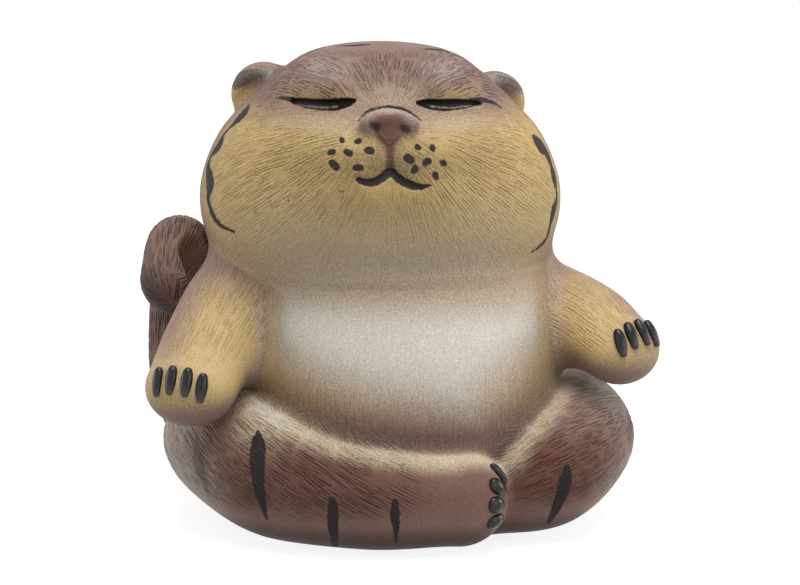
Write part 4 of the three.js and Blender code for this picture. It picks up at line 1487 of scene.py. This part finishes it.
def comb_layers(tuft, points, normals, way):
    """Three layers of overlapping tufts: across, along and weight of each point in its tuft."""
    rng = np.random.default_rng(COMB_SEED)
    way = unit(way - normals * (way * normals).sum(1, keepdims=True))
    layers = {}
    for layer in range(3):
        cells = np.floor((points + rng.uniform(0, tuft, 3)) / tuft).astype(int)
        cells -= cells.min(0) - 1
        order = rng.permutation(len(points))
        homes, first = np.unique(cells[order], axis=0, return_index=True)
        seeds = order[first]
        table = np.full(cells.max(0) + 2, -1)
        table[tuple(homes.T)] = np.arange(len(seeds))
        closest = np.full(len(points), np.inf)
        second = closest.copy()
        near = np.zeros(len(points), int)
        for step in np.ndindex(3, 3, 3):
            other = table[tuple((cells + np.array(step) - 1).T)]
            gap = ((points - points[seeds[other]]) ** 2).sum(1)
            gap[other < 0] = np.inf
            better = gap < closest
            second = np.where(better, closest, np.minimum(second, gap))
            closest = np.where(better, gap, closest)
            near = np.where(better, other, near)
        closest = np.sqrt(closest)
        second = np.sqrt(np.minimum(second, 9 * tuft * tuft))
        offset = points - points[seeds[near]]
        across = np.cross(normals[seeds], way[seeds])
        shift = rng.uniform(0, COMB_SHIFT, len(seeds))
        comb = np.stack(
            [
                (offset * across[near]).sum(1) + shift[near],
                (offset * way[seeds[near]]).sum(1),
                (second - closest) / (second + closest + 1e-6),
            ],
            -1,
        )
        layers[f"comb_{layer + 1}"] = comb.astype(np.float32)
    return layers


def comb_relief(paint):
    """Depth to which the comb pressed the clay at each point, in broad waves."""
    total = 0.0
    weight = FLAT_IN_WAVES
    for layer in range(3):
        across, along, share = paint[f"comb_{layer + 1}"].T
        bend = COMB_SWAY * np.sin(along * 2 * np.pi / COMB_SWAY_LENGTH)
        wave = np.sin(across * 2 * np.pi / COMB_WAVE + bend)
        total = total + share * share * wave
        weight = weight + share * share
    return COMB_WAVE_DEPTH * paint["hair"] ** 2 * (0.5 - 0.5 * total / weight)


def quad_edges(quads):
    """The four edges of each quad as pairs of points."""
    return np.stack([quads, np.roll(quads, -1, axis=1)], -1).reshape(-1, 2)


def quad_facings(points, quads):
    """The way each quad faces, longer for larger quads."""
    corner = points[quads]
    return np.cross(corner[:, 2] - corner[:, 0], corner[:, 3] - corner[:, 1])


def point_normals(points, quads):
    """Smooth normals of a quad skin."""
    facing = quad_facings(points, quads)
    normals = np.zeros_like(points)
    for k in range(4):
        for axis in range(3):
            normals[:, axis] += np.bincount(quads[:, k], facing[:, axis], len(points))
    return unit(normals)


def share_out(sizes, model, middle, quads):
    """The piece that each face belongs to: its nearest form, the crown, the back shell or the base.

    Stray patches join the neighbour that they border most.
    """
    gaps = np.stack([model.block.sample(model.fields[name], middle) for name in FORMS], 1)
    owner = np.argmin(gaps, axis=1)
    x, y, z = middle.T
    owner[(owner == FORMS.index("head")) & (y > CROWN_SEAM)] = PIECES.index("crown")
    owner[(owner == FORMS.index("trunk")) & (y > BACK_SEAM)] = PIECES.index("back")
    in_vent = (np.hypot(x, y - VENT_SETBACK) < VENT_RADIUS + VENT_SKIN) & (z < VENT_DEPTH + 1)
    underneath = (base_outline(sizes, x, y) < 0) & (z < FOOT_SKIN)
    owner[in_vent | underneath] = PIECES.index("base")

    first, second = neighbours(quads)
    for _ in range(3):
        patch = patches(owner, first, second)
        size = np.bincount(patch, minlength=len(owner))
        largest = np.zeros(len(PIECES), int)
        np.maximum.at(largest, owner, size[patch])
        border = owner[first] != owner[second]
        inner = np.concatenate([first[border], second[border]])
        outer = np.concatenate([second[border], first[border]])
        met = np.bincount(patch[inner] * len(PIECES) + owner[outer], minlength=len(owner) * len(PIECES))
        neighbour = met.reshape(-1, len(PIECES)).argmax(1)
        owner = np.where(size[patch] < largest[owner], neighbour[patch], owner)
    return owner


def neighbours(quads):
    """Pairs of faces that share an edge."""
    ends = np.sort(quad_edges(quads), axis=1)
    order = np.lexsort(ends.T) // 4
    return order[0::2], order[1::2]


def outer_skin(points, quads):
    """The largest connected skin, without bubbles in the clay."""
    patch = patches(np.zeros(len(quads), int), *neighbours(quads))
    quads = quads[patch == np.bincount(patch).argmax()]
    kept, quads = np.unique(quads, return_inverse=True)
    return points[kept], quads.reshape(-1, 4)


def patches(owner, first, second):
    """A number for each connected patch of faces with one owner."""
    same = owner[first] == owner[second]
    a, b = first[same], second[same]
    patch = np.arange(len(owner))
    while True:
        least = np.minimum(patch[a], patch[b])
        joined = patch.copy()
        np.minimum.at(joined, patch[a], least)
        np.minimum.at(joined, patch[b], least)
        joined = joined[joined]
        if np.array_equal(joined, patch):
            return patch
        patch = joined


@functools.lru_cache(maxsize=1)
def sculpture():
    """The whole figure's skin, made once and shared by the operators."""
    sizes = bpy.context.scene.tea_pet_sizes
    camera = PhotoCamera()
    model = model_clay(sizes, camera)
    points, quads = outer_skin(*model.block.skin(model.clay))
    normals = model.block.slope(model.clay, points)
    if (quad_facings(points, quads) * normals[quads[:, 0]]).sum() < 0:
        quads = quads[:, ::-1]
    owner = share_out(sizes, model, points[quads].mean(1), quads)
    paint = paint_skin(sizes, model, camera, points, normals)
    points = points - normals * comb_relief(paint)[:, None]
    points = np.clip(points, *(np.array(corner) * 1000.0 for corner in cad_box))
    return Sculpture(points, point_normals(points, quads), quads, owner, paint)


def edge_loops(edges, count):
    """How many loops the edges between so many points make, and the loop of each point."""
    group = np.arange(count)

    def head_of(i):
        while group[i] != i:
            group[i] = group[group[i]]
            i = group[i]
        return i

    for a, b in edges:
        group[head_of(a)] = head_of(b)
    heads, loop_of = np.unique([head_of(i) for i in range(count)], return_inverse=True)
    return len(heads), loop_of


def closed_patch(shape, name):
    """One piece of the skin, closed inside by a short wall and a cap round each of its edges."""
    quads = shape.quads[shape.owner == PIECES.index(name)]
    if len(quads) == 0:
        raise RuntimeError(f"no skin was found for the {name}")
    kept, faces = np.unique(quads, return_inverse=True)
    faces = faces.reshape(-1, 4)
    count = len(kept)
    edges = quad_edges(faces)
    open_edge = ~np.isin(edges[:, 0] * count + edges[:, 1], edges[:, 1] * count + edges[:, 0])
    rim = edges[open_edge]
    rim_points, rim_index = np.unique(rim, return_inverse=True)
    rim_index = rim_index.reshape(-1, 2)
    loops, loop_of = edge_loops(rim_index, len(rim_points))
    points = shape.points[kept]
    inner = points[rim_points] - shape.normals[kept][rim_points] * RIM_WALL
    centres = np.array([inner[loop_of == k].mean(0) for k in range(loops)]).reshape(-1, 3)
    if name == "base":
        centres[:] = BASE_HUB
    a, b = rim.T
    a_in, b_in = count + rim_index.T
    hub = count + len(rim_points) + loop_of[rim_index[:, 0]]
    walls = np.stack([b, a, a_in, b_in], -1)
    caps = np.stack([b_in, a_in, hub], -1)
    first = [np.flatnonzero(loop_of == k)[0] for k in range(loops)]
    source = np.concatenate([kept, kept[rim_points], kept[rim_points[first]]])
    all_points = np.vstack([points, inner, centres])
    return all_points, faces.tolist() + walls.tolist() + caps.tolist(), source.astype(int)


def make_skin_piece(name, node):
    """Makes one piece of the skin as an object that stands for its frame node."""
    shape = sculpture()
    points, faces, source = closed_patch(shape, name)
    mesh = bpy.data.meshes.new(f"{name}_clay")
    mesh.from_pydata(metres(points), [], faces)
    mesh.polygons.foreach_set("use_smooth", np.ones(len(mesh.polygons), bool))
    mesh.normals_split_custom_set_from_vertices(shape.normals[source].tolist())
    for key, values in shape.paint.items():
        kind = "FLOAT_VECTOR" if values.ndim == 2 else "FLOAT"
        attribute = mesh.attributes.new(key, kind, "POINT")
        field = "vector" if values.ndim == 2 else "value"
        attribute.data.foreach_set(field, np.ascontiguousarray(values[source], np.float32).ravel())
    mesh.materials.append(sprayed_stoneware())
    piece = bpy.data.objects.new(f"{name}_clay", mesh)
    bpy.context.scene.collection.objects.link(piece)
    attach(piece, "root")
    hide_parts(node)
    return piece


def place_node(tree, kind, inputs=None, **settings):
    """A node with its settings, and values or links on its inputs."""
    node = tree.nodes.new(kind)
    for key, value in settings.items():
        setattr(node, key, value)
    for key, value in (inputs or {}).items():
        if isinstance(value, bpy.types.NodeSocket):
            tree.links.new(value, node.inputs[key])
        else:
            node.inputs[key].default_value = value
    return node


def reckon(tree, operation, a, b=0.0, c=0.0, clamp=False):
    """Output of a Math node."""
    inputs = {0: a, 1: b, 2: c}
    return place_node(tree, "ShaderNodeMath", inputs, operation=operation, use_clamp=clamp).outputs[0]


def mix_colour(tree, share, a, b):
    node = place_node(tree, "ShaderNodeMix", {0: share, 6: a, 7: b}, data_type="RGBA")
    return node.outputs[2]


def painted(tree, name, output="Fac"):
    return place_node(tree, "ShaderNodeAttribute", attribute_name=name).outputs[output]


def noise_of(tree, vector, scale, detail=2.0, dimensions="3D"):
    inputs = {"Vector": vector, "Scale": scale, "Detail": detail}
    return place_node(tree, "ShaderNodeTexNoise", inputs, noise_dimensions=dimensions).outputs["Fac"]


def rgba(colour):
    return (*colour, 1.0)


def start_group(name, inputs, outputs):
    """A new shader node group with named sockets, and its two end nodes."""
    tree = bpy.data.node_groups.new(name, "ShaderNodeTree")
    for label, kind in inputs:
        tree.interface.new_socket(label, in_out="INPUT", socket_type=kind)
    for label, kind in outputs:
        tree.interface.new_socket(label, in_out="OUTPUT", socket_type=kind)
    return tree, place_node(tree, "NodeGroupInput").outputs, place_node(tree, "NodeGroupOutput").inputs


@functools.lru_cache(maxsize=1)
def combed_hair():
    """Relief of lines combed into wet clay, tuft by tuft."""
    floats = [("Spacing", "NodeSocketFloat"), ("Length", "NodeSocketFloat")]
    combs = [(f"Comb {i}", "NodeSocketVector") for i in (1, 2, 3)]
    tree, given, result = start_group("Combed hair", combs + floats, [("Height", "NodeSocketFloat")])
    groove = 0.0
    weight = FLAT_IN_LINES
    for label, _ in combs:
        parts = place_node(tree, "ShaderNodeSeparateXYZ", {0: given[label]}).outputs
        across = reckon(tree, "DIVIDE", parts[0], given["Spacing"])
        along = reckon(tree, "DIVIDE", parts[1], given["Length"])
        place = place_node(tree, "ShaderNodeCombineXYZ", {0: across, 1: along}).outputs[0]
        bend = noise_of(tree, place, scale=0.45, detail=1.0, dimensions="2D")
        bend = reckon(tree, "MULTIPLY", bend, HAIR_WANDER)
        turn = reckon(tree, "MULTIPLY_ADD", across, math.tau, bend)
        dip = reckon(tree, "MULTIPLY_ADD", reckon(tree, "SINE", turn), 0.5, 0.5)
        dip = reckon(tree, "POWER", dip, HAIR_NARROWNESS)
        press = noise_of(tree, place, scale=0.8, detail=0.0, dimensions="2D")
        press = reckon(tree, "MULTIPLY_ADD", press, *HAIR_FADE, clamp=True)
        share = reckon(tree, "POWER", parts[2], TUFT_PARTING)
        groove = reckon(tree, "MULTIPLY_ADD", reckon(tree, "MULTIPLY", dip, press), share, groove)
        weight = reckon(tree, "ADD", share, weight)
    level = reckon(tree, "SUBTRACT", 1.0, reckon(tree, "DIVIDE", groove, weight))
    tree.links.new(level, result["Height"])
    return tree


def in_millimetres(tree):
    """Places on the piece in millimetres."""
    place = place_node(tree, "ShaderNodeTexCoord").outputs["Object"]
    return place_node(tree, "ShaderNodeVectorMath", {0: place, 3: 1000.0}, operation="SCALE").outputs[0]


@functools.lru_cache(maxsize=1)
def sprayed_slip():
    """Cover of an airbrushed slip, speckled where it thins out."""
    sockets = [("Amount", "NodeSocketFloat"), ("Grain", "NodeSocketFloat")]
    tree, given, result = start_group("Sprayed slip", sockets, [("Cover", "NodeSocketFloat")])
    drops = noise_of(tree, in_millimetres(tree), given["Grain"], detail=1.0)
    bare = reckon(tree, "SUBTRACT", 1.0, given["Amount"])
    thin = reckon(tree, "MULTIPLY", given["Amount"], bare)
    drops = reckon(tree, "MULTIPLY_ADD", drops, *DROP_CONTRAST)
    cover = reckon(tree, "MULTIPLY_ADD", drops, thin, given["Amount"], clamp=True)
    tree.links.new(cover, result["Cover"])
    return tree


@functools.lru_cache(maxsize=1)
def brushed_slip():
    """Cover of a brush mark from its distance, a little ragged where the brush ran dry."""
    sockets = [("Distance", "NodeSocketFloat"), ("Height", "NodeSocketFloat")]
    tree, given, result = start_group("Brushed slip", sockets, [("Cover", "NodeSocketFloat")])
    ragged = noise_of(tree, in_millimetres(tree), scale=1.5)
    edge = reckon(tree, "MULTIPLY_ADD", ragged, *RAGGED_EDGE)
    edge = reckon(tree, "ADD", given["Distance"], edge)
    edge = reckon(tree, "MULTIPLY_ADD", given["Height"], BRUSH_SKIP, edge)
    tree.links.new(reckon(tree, "MULTIPLY_ADD", edge, *BRUSH_EDGE, clamp=True), result["Cover"])
    return tree


@functools.lru_cache(maxsize=1)
def fired_grain():
    """Fine grain, patches and dark specks of fired clay."""
    outputs = [(label, "NodeSocketFloat") for label in ("Grain", "Patches", "Specks")]
    tree, _, result = start_group("Fired grain", [], outputs)
    place = in_millimetres(tree)
    tree.links.new(noise_of(tree, place, scale=3.4), result["Grain"])
    stains = noise_of(tree, place, scale=0.16, detail=3.0)
    stains = reckon(tree, "MULTIPLY_ADD", stains, *STAIN_CONTRAST, clamp=True)
    tree.links.new(stains, result["Patches"])
    specks = noise_of(tree, place, scale=4.6, detail=0.0)
    specks = reckon(tree, "MULTIPLY_ADD", specks, *SPECK_CONTRAST, clamp=True)
    tree.links.new(specks, result["Specks"])
    return tree


def use_group(tree, group, inputs=None):
    """Outputs of a node group placed in a tree."""
    return place_node(tree, "ShaderNodeGroup", inputs, node_tree=group).outputs


def sprayed(tree, name, drops):
    """Cover of a slip that was sprayed on the skin under that name."""
    return use_group(tree, sprayed_slip(), {"Amount": painted(tree, name), "Grain": drops})["Cover"]


def new_material(name):
    """A material with its tree and its Principled shader."""
    material = bpy.data.materials.new(name)
    material.use_nodes = True
    return material, material.node_tree, material.node_tree.nodes["Principled BSDF"]


@functools.lru_cache(maxsize=1)
def sprayed_stoneware():
    """Combed clay under sprayed yellow and white slips, brushed dark slip, and painted shade sprayed in the
    same dark slip.
    """
    finish = bpy.context.scene.tea_pet_finish
    material, tree, shader = new_material("Sprayed stoneware")
    combs = {f"Comb {i}": painted(tree, f"comb_{i}", "Vector") for i in (1, 2, 3)}
    spacing = {"Spacing": mm(finish.hair_spacing), "Length": mm(finish.hair_length)}
    height = use_group(tree, combed_hair(), {**combs, **spacing})["Height"]
    hair = painted(tree, "hair")
    depth = reckon(tree, "MULTIPLY", reckon(tree, "SUBTRACT", height, 1.0), hair)
    grain = use_group(tree, fired_grain())
    iron = reckon(tree, "MULTIPLY_ADD", grain["Patches"], *IRON_CONTRAST)
    iron = reckon(tree, "MULTIPLY", painted(tree, "wash"), iron)
    clay = mix_colour(tree, iron, rgba(finish.brown_clay), rgba(finish.red_clay))
    # Darker colour in the combed grooves: partly dry-brushed colour on lighter ridges, partly painted shade
    ridge = reckon(tree, "MULTIPLY_ADD", depth, COMB_SHADE, SKIN_TONE)
    shade = reckon(tree, "MULTIPLY_ADD", grain["Grain"], GRAIN_TONE, ridge)
    yellow = sprayed(tree, "yellow", YELLOW_DROPS)
    white = sprayed(tree, "white", WHITE_DROPS)
    colour = mix_colour(tree, yellow, clay, rgba(finish.yellow_slip))
    colour = mix_colour(tree, white, colour, rgba(finish.white_slip))
    tone = place_node(tree, "ShaderNodeVectorMath", {0: colour, 3: shade}, operation="SCALE").outputs[0]
    inputs = {"Distance": painted(tree, "ink"), "Height": depth}
    brushed = use_group(tree, brushed_slip(), inputs)["Cover"]
    # The smoked slip holds the tail's dark end, the faint marks and the painted shade
    smoke_and_shade = sprayed(tree, "soft_ink_and_shade", SMOKE_DROPS)
    dark = reckon(tree, "MULTIPLY", brushed, BRUSHED_COVER)
    for cover, most in ((smoke_and_shade, SMOKE_AND_SHADE_COVER), (grain["Specks"], SPECK_COVER)):
        dark = reckon(tree, "MAXIMUM", dark, reckon(tree, "MULTIPLY", cover, most))
    gloss = painted(tree, "gloss")
    slip = mix_colour(tree, gloss, rgba(finish.dark_slip), rgba(finish.glossy_slip))
    colour = mix_colour(tree, dark, tone, slip)
    tree.links.new(colour, shader.inputs["Base Color"])
    rough = reckon(tree, "MULTIPLY_ADD", grain["Grain"], GRAIN_ROUGHNESS, SKIN_ROUGHNESS)
    rough = reckon(tree, "MULTIPLY_ADD", brushed, BRUSH_ROUGHNESS, rough)
    rough = reckon(tree, "MULTIPLY_ADD", gloss, GLOSS_ROUGHNESS, rough)
    tree.links.new(rough, shader.inputs["Roughness"])
    shader.inputs["Specular IOR Level"].default_value = SKIN_SHINE
    relief = reckon(tree, "MULTIPLY_ADD", grain["Grain"], GRAIN_RELIEF, depth)
    bump = {"Height": relief, "Distance": finish.hair_depth, "Strength": 1.0}
    tree.links.new(place_node(tree, "ShaderNodeBump", bump).outputs[0], shader.inputs["Normal"])
    return material


@functools.lru_cache(maxsize=1)
def glossy_claw():
    """Dark slip on the claws, thinner and browner where the brush lifted."""
    finish = bpy.context.scene.tea_pet_finish
    material, tree, shader = new_material("Glossy claw slip")
    grain = use_group(tree, fired_grain())
    thin = reckon(tree, "MULTIPLY", painted(tree, "thin"), reckon(tree, "ADD", grain["Grain"], 0.4))
    colour = mix_colour(tree, thin, rgba(finish.claw_slip), rgba(finish.thin_claw_slip))
    tree.links.new(colour, shader.inputs["Base Color"])
    rough = reckon(tree, "MULTIPLY_ADD", grain["Grain"], GRAIN_ROUGHNESS, CLAW_ROUGHNESS)
    tree.links.new(rough, shader.inputs["Roughness"])
    shader.inputs["Specular IOR Level"].default_value = CLAW_SHINE
    bump = {"Height": grain["Grain"], "Distance": CLAW_RELIEF}
    tree.links.new(place_node(tree, "ShaderNodeBump", bump).outputs[0], shader.inputs["Normal"])
    return material


def claw_axes(stations, tilt_degrees, turn_degrees, hang):
    """Seat of a claw on the dome of a limb: place, then the ways down, across and out."""
    centre, along, up, side, wide, high = (row[-1] for row in limb_frames(stations, steps=24))

    def on_dome(lean, angle):
        spread = up * high * math.cos(angle) + side * wide * math.sin(angle)
        return centre + along * high * math.cos(lean) + spread * math.sin(lean)

    tilt = math.radians(tilt_degrees)
    turn = math.radians(turn_degrees)
    step = 1e-3
    seat = on_dome(tilt, turn)
    down = unit(on_dome(tilt - step, turn) - seat)
    out = unit(np.cross(down, on_dome(tilt, turn + step) - seat))
    if out @ (seat - centre) < 0:
        out = -out
    plumb = np.array([0.0, 0.0, -1.0])
    plumb = unit(plumb - out * (plumb @ out))
    down = unit(down * (1 - hang) + plumb * hang)
    return seat, down, np.cross(out, down), out


def make_claw(name, stations, size, tilt, turn, hang):
    """A pellet of dark clay, blunt at its root and narrowing to its tip."""
    seat, down, across, out = claw_axes(stations, tilt, turn, hang)
    length, width, height = (s / 2 for s in size)
    share = np.linspace(0, 1, CLAW_RINGS + 2)[1:-1]
    place = -np.cos(share * np.pi)
    swell = np.sin(share * np.pi) ** CLAW_BLUNTNESS * (1 - CLAW_TAPER * rise(-0.2, 1, place))
    angle = np.linspace(0, 2 * np.pi, CLAW_SIDES, endpoint=False)
    rings = (
        down * (place * length)[:, None, None]
        + across * (swell[:, None] * width * np.cos(angle))[..., None]
        + out * (swell[:, None] * height * np.sin(angle))[..., None]
    )
    points, faces = skin(seat + rings, seat - down * length, seat + down * length)
    mesh = bpy.data.meshes.new(name)
    mesh.from_pydata(metres(points), [], faces.tolist())
    mesh.polygons.foreach_set("use_smooth", np.ones(len(mesh.polygons), bool))
    mesh.update()
    thin = rise(0.1, 1.0, (points - seat) @ down / length)
    mesh.attributes.new("thin", "FLOAT", "POINT").data.foreach_set("value", thin.astype(np.float32))
    mesh.materials.append(glossy_claw())
    piece = bpy.data.objects.new(name, mesh)
    bpy.context.scene.collection.objects.link(piece)
    return piece


class TEAPET_OT_head(bpy.types.Operator):
    """Face with its closed eyes, muzzle and mouth, and the crown behind it"""

    bl_idname = "teapet.head"
    bl_label = "Head"

    def execute(self, context):
        make_skin_piece("head", "face_shell")
        make_skin_piece("crown", "crown_shell")
        return {"FINISHED"}


class TEAPET_OT_nose(bpy.types.Operator):
    """Broad nose with two nostrils"""

    bl_idname = "teapet.nose"
    bl_label = "Nose"

    def execute(self, context):
        make_skin_piece("nose", "nose_pad")
        return {"FINISHED"}


class TEAPET_OT_ears(bpy.types.Operator):
    """Two cupped ears"""

    bl_idname = "teapet.ears"
    bl_label = "Ears"

    def execute(self, context):
        for name in EARS:
            make_skin_piece(name, name)
        return {"FINISHED"}


class TEAPET_OT_trunk(bpy.types.Operator):
    """Trunk: the round belly and the back"""

    bl_idname = "teapet.trunk"
    bl_label = "Trunk"

    def execute(self, context):
        make_skin_piece("trunk", "trunk_front_shell")
        make_skin_piece("back", "trunk_back_shell")
        return {"FINISHED"}


class TEAPET_OT_base(bpy.types.Operator):
    """Base with its vent"""

    bl_idname = "teapet.base"
    bl_label = "Base"

    def execute(self, context):
        make_skin_piece("base", "base_slab")
        return {"FINISHED"}


class TEAPET_OT_arms(bpy.types.Operator):
    """Two arms with rounded paws"""

    bl_idname = "teapet.arms"
    bl_label = "Arms"

    def execute(self, context):
        for name in ("right_arm", "left_arm"):
            make_skin_piece(name, name)
        return {"FINISHED"}


class TEAPET_OT_legs(bpy.types.Operator):
    """Two crossed legs"""

    bl_idname = "teapet.legs"
    bl_label = "Legs"

    def execute(self, context):
        for name in ("right_leg", "left_leg"):
            make_skin_piece(name, name)
        return {"FINISHED"}


class TEAPET_OT_tail(bpy.types.Operator):
    """Tail curled up beside the right arm"""

    bl_idname = "teapet.tail"
    bl_label = "Tail"

    def execute(self, context):
        make_skin_piece("tail", "tail")
        return {"FINISHED"}


class TEAPET_OT_claws(bpy.types.Operator):
    """Claws of both hands and of the right foot"""

    bl_idname = "teapet.claws"
    bl_label = "Claws"

    def execute(self, context):
        stations = limb_stations(context.scene.tea_pet_sizes)
        spread = (np.arange(CLAWS_ON_PAW) - (CLAWS_ON_PAW - 1) / 2) * HAND_CLAW_PITCH
        round_foot = FOOT_CLAW_START + np.arange(CLAWS_ON_PAW) * FOOT_CLAW_PITCH
        hand = ([HAND_CLAW] * CLAWS_ON_PAW, HAND_CLAW_TILT, HAND_CLAW_HANG)
        foot = (FOOT_CLAWS, FOOT_CLAW_TILT, 0.0)
        rows = (
            ("right_hand_claw", "right_arm", spread - HAND_CLAW_MIDDLE, hand),
            ("left_hand_claw", "left_arm", spread + HAND_CLAW_MIDDLE, hand),
            ("right_foot_claw", "right_leg", round_foot, foot),
        )
        for name, paw, turns, (claw_sizes, tilt, hang) in rows:
            for i, (size, turn) in enumerate(zip(claw_sizes, turns), 1):
                claw = make_claw(f"{name}_{i}_slip", stations[paw], size, tilt, float(turn), hang)
                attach(claw, "root")
                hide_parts(f"{name}_{i}")
        return {"FINISHED"}


def soft_lamp(name, place, size, power):
    """A square softbox aimed at the figure."""
    lamp = bpy.data.lights.new(name, "AREA")
    lamp.shape = "SQUARE"
    lamp.size = size
    lamp.energy = power
    lamp_object = bpy.data.objects.new(name, lamp)
    aim = Vector(LAMP_AIM) - Vector(place)
    lamp_object.location = place
    lamp_object.rotation_euler = aim.to_track_quat("-Z", "Y").to_euler()
    bpy.context.scene.collection.objects.link(lamp_object)


def seen_directly(tree):
    """1 for rays from the camera, mirrors and glass."""
    path = place_node(tree, "ShaderNodeLightPath").outputs
    seen = reckon(tree, "MAXIMUM", path["Is Camera Ray"], path["Is Glossy Ray"])
    return reckon(tree, "MAXIMUM", seen, path["Is Transmission Ray"])


def pale_floor():
    """A dull grey floor that looks white to the camera where no shadow falls."""
    material, tree, shader = new_material("Pale floor")
    grain = use_group(tree, fired_grain())["Grain"]
    shade = mix_colour(tree, grain, *(rgba((shade,) * 3) for shade in FLOOR_SHADES))
    tree.links.new(shade, shader.inputs["Base Color"])
    shader.inputs["Roughness"].default_value = 1.0
    shader.inputs["Specular IOR Level"].default_value = 0.0
    strength = reckon(tree, "MULTIPLY", seen_directly(tree), FLOOR_GLOW)
    glow = place_node(tree, "ShaderNodeEmission", {"Strength": strength})
    both = place_node(tree, "ShaderNodeAddShader", {0: shader.outputs[0], 1: glow.outputs[0]})
    tree.links.new(both.outputs[0], tree.nodes["Material Output"].inputs["Surface"])
    return material


def white_sky():
    """A white world, dimmer as a light than it looks."""
    world = bpy.data.worlds.new("Studio")
    world.use_nodes = True
    tree = world.node_tree
    strength = reckon(tree, "MULTIPLY_ADD", seen_directly(tree), SKY_SEEN, SKY_LIGHT)
    tree.links.new(strength, tree.nodes["Background"].inputs["Strength"])
    tree.nodes["Background"].inputs["Color"].default_value = (1, 1, 1, 1)
    return world


def photo_camera():
    """A camera with the photograph's place, aim and framing."""
    lens = bpy.data.cameras.new("Photo camera")
    lens.sensor_width = 36.0
    lens.lens = lens.sensor_width * PIXELS_PER_MM * CAMERA_DISTANCE / PHOTO_WIDTH
    lens.shift_x = (PHOTO_WIDTH / 2 - TARGET_PIXEL[0]) / PHOTO_WIDTH
    lens.shift_y = (TARGET_PIXEL[1] - PHOTO_HEIGHT / 2) / PHOTO_WIDTH
    lens.clip_start = 0.01
    lens.clip_end = 20.0
    view = PhotoCamera()
    turn = Matrix((view.right, view.up, view.back)).transposed().to_4x4()
    camera = bpy.data.objects.new("Photo camera", lens)
    camera.matrix_world = Matrix.Translation(Vector(metres(view.eye))) @ turn
    return camera


class TEAPET_OT_stage(bpy.types.Operator):
    """Pale floor, soft light and the camera"""

    bl_idname = "teapet.stage"
    bl_label = "Stage"

    def execute(self, context):
        scene = context.scene
        scene.view_settings.view_transform = "Standard"
        mesh = bpy.data.meshes.new("floor")
        corners = [(x * FLOOR_REACH, y * FLOOR_REACH, 0) for x, y in ((-1, -1), (1, -1), (1, 1), (-1, 1))]
        mesh.from_pydata(corners, [], [(0, 1, 2, 3)])
        mesh.materials.append(pale_floor())
        floor = bpy.data.objects.new("floor", mesh)
        scene.collection.objects.link(floor)
        scene.world = white_sky()
        for name, (place, size, power) in SOFTBOXES.items():
            soft_lamp(name, place, size, power)
        scene.camera = photo_camera()
        scene.collection.objects.link(scene.camera)
        return {"FINISHED"}


MAKERS = (
    TEAPET_OT_head,
    TEAPET_OT_nose,
    TEAPET_OT_ears,
    TEAPET_OT_trunk,
    TEAPET_OT_base,
    TEAPET_OT_arms,
    TEAPET_OT_legs,
    TEAPET_OT_tail,
    TEAPET_OT_claws,
    TEAPET_OT_stage,
)


class TEAPET_PT_panel(bpy.types.Panel):
    """Lists the makers of the tea pet's pieces"""

    bl_idname = "TEAPET_PT_panel"
    bl_label = "Tea Pet"
    bl_space_type = "VIEW_3D"
    bl_region_type = "UI"
    bl_category = "Tea Pet"

    def draw(self, context):
        for group in (context.scene.tea_pet_sizes, context.scene.tea_pet_finish):
            for key in group.__annotations__:
                self.layout.prop(group, key)
        for maker in MAKERS:
            self.layout.operator(maker.bl_idname)


def register():
    for cls in (TeaPetSizes, TeaPetFinish, *MAKERS, TEAPET_PT_panel):
        bpy.utils.register_class(cls)
    bpy.types.Scene.tea_pet_sizes = PointerProperty(type=TeaPetSizes)
    bpy.types.Scene.tea_pet_finish = PointerProperty(type=TeaPetFinish)


def unregister():
    del bpy.types.Scene.tea_pet_finish
    del bpy.types.Scene.tea_pet_sizes
    for cls in reversed((TeaPetSizes, TeaPetFinish, *MAKERS, TEAPET_PT_panel)):
        bpy.utils.unregister_class(cls)


def main():
    register()
    for maker in MAKERS:
        group, name = maker.bl_idname.split(".")
        getattr(getattr(bpy.ops, group), name)()


if __name__ == "__main__":
    main()
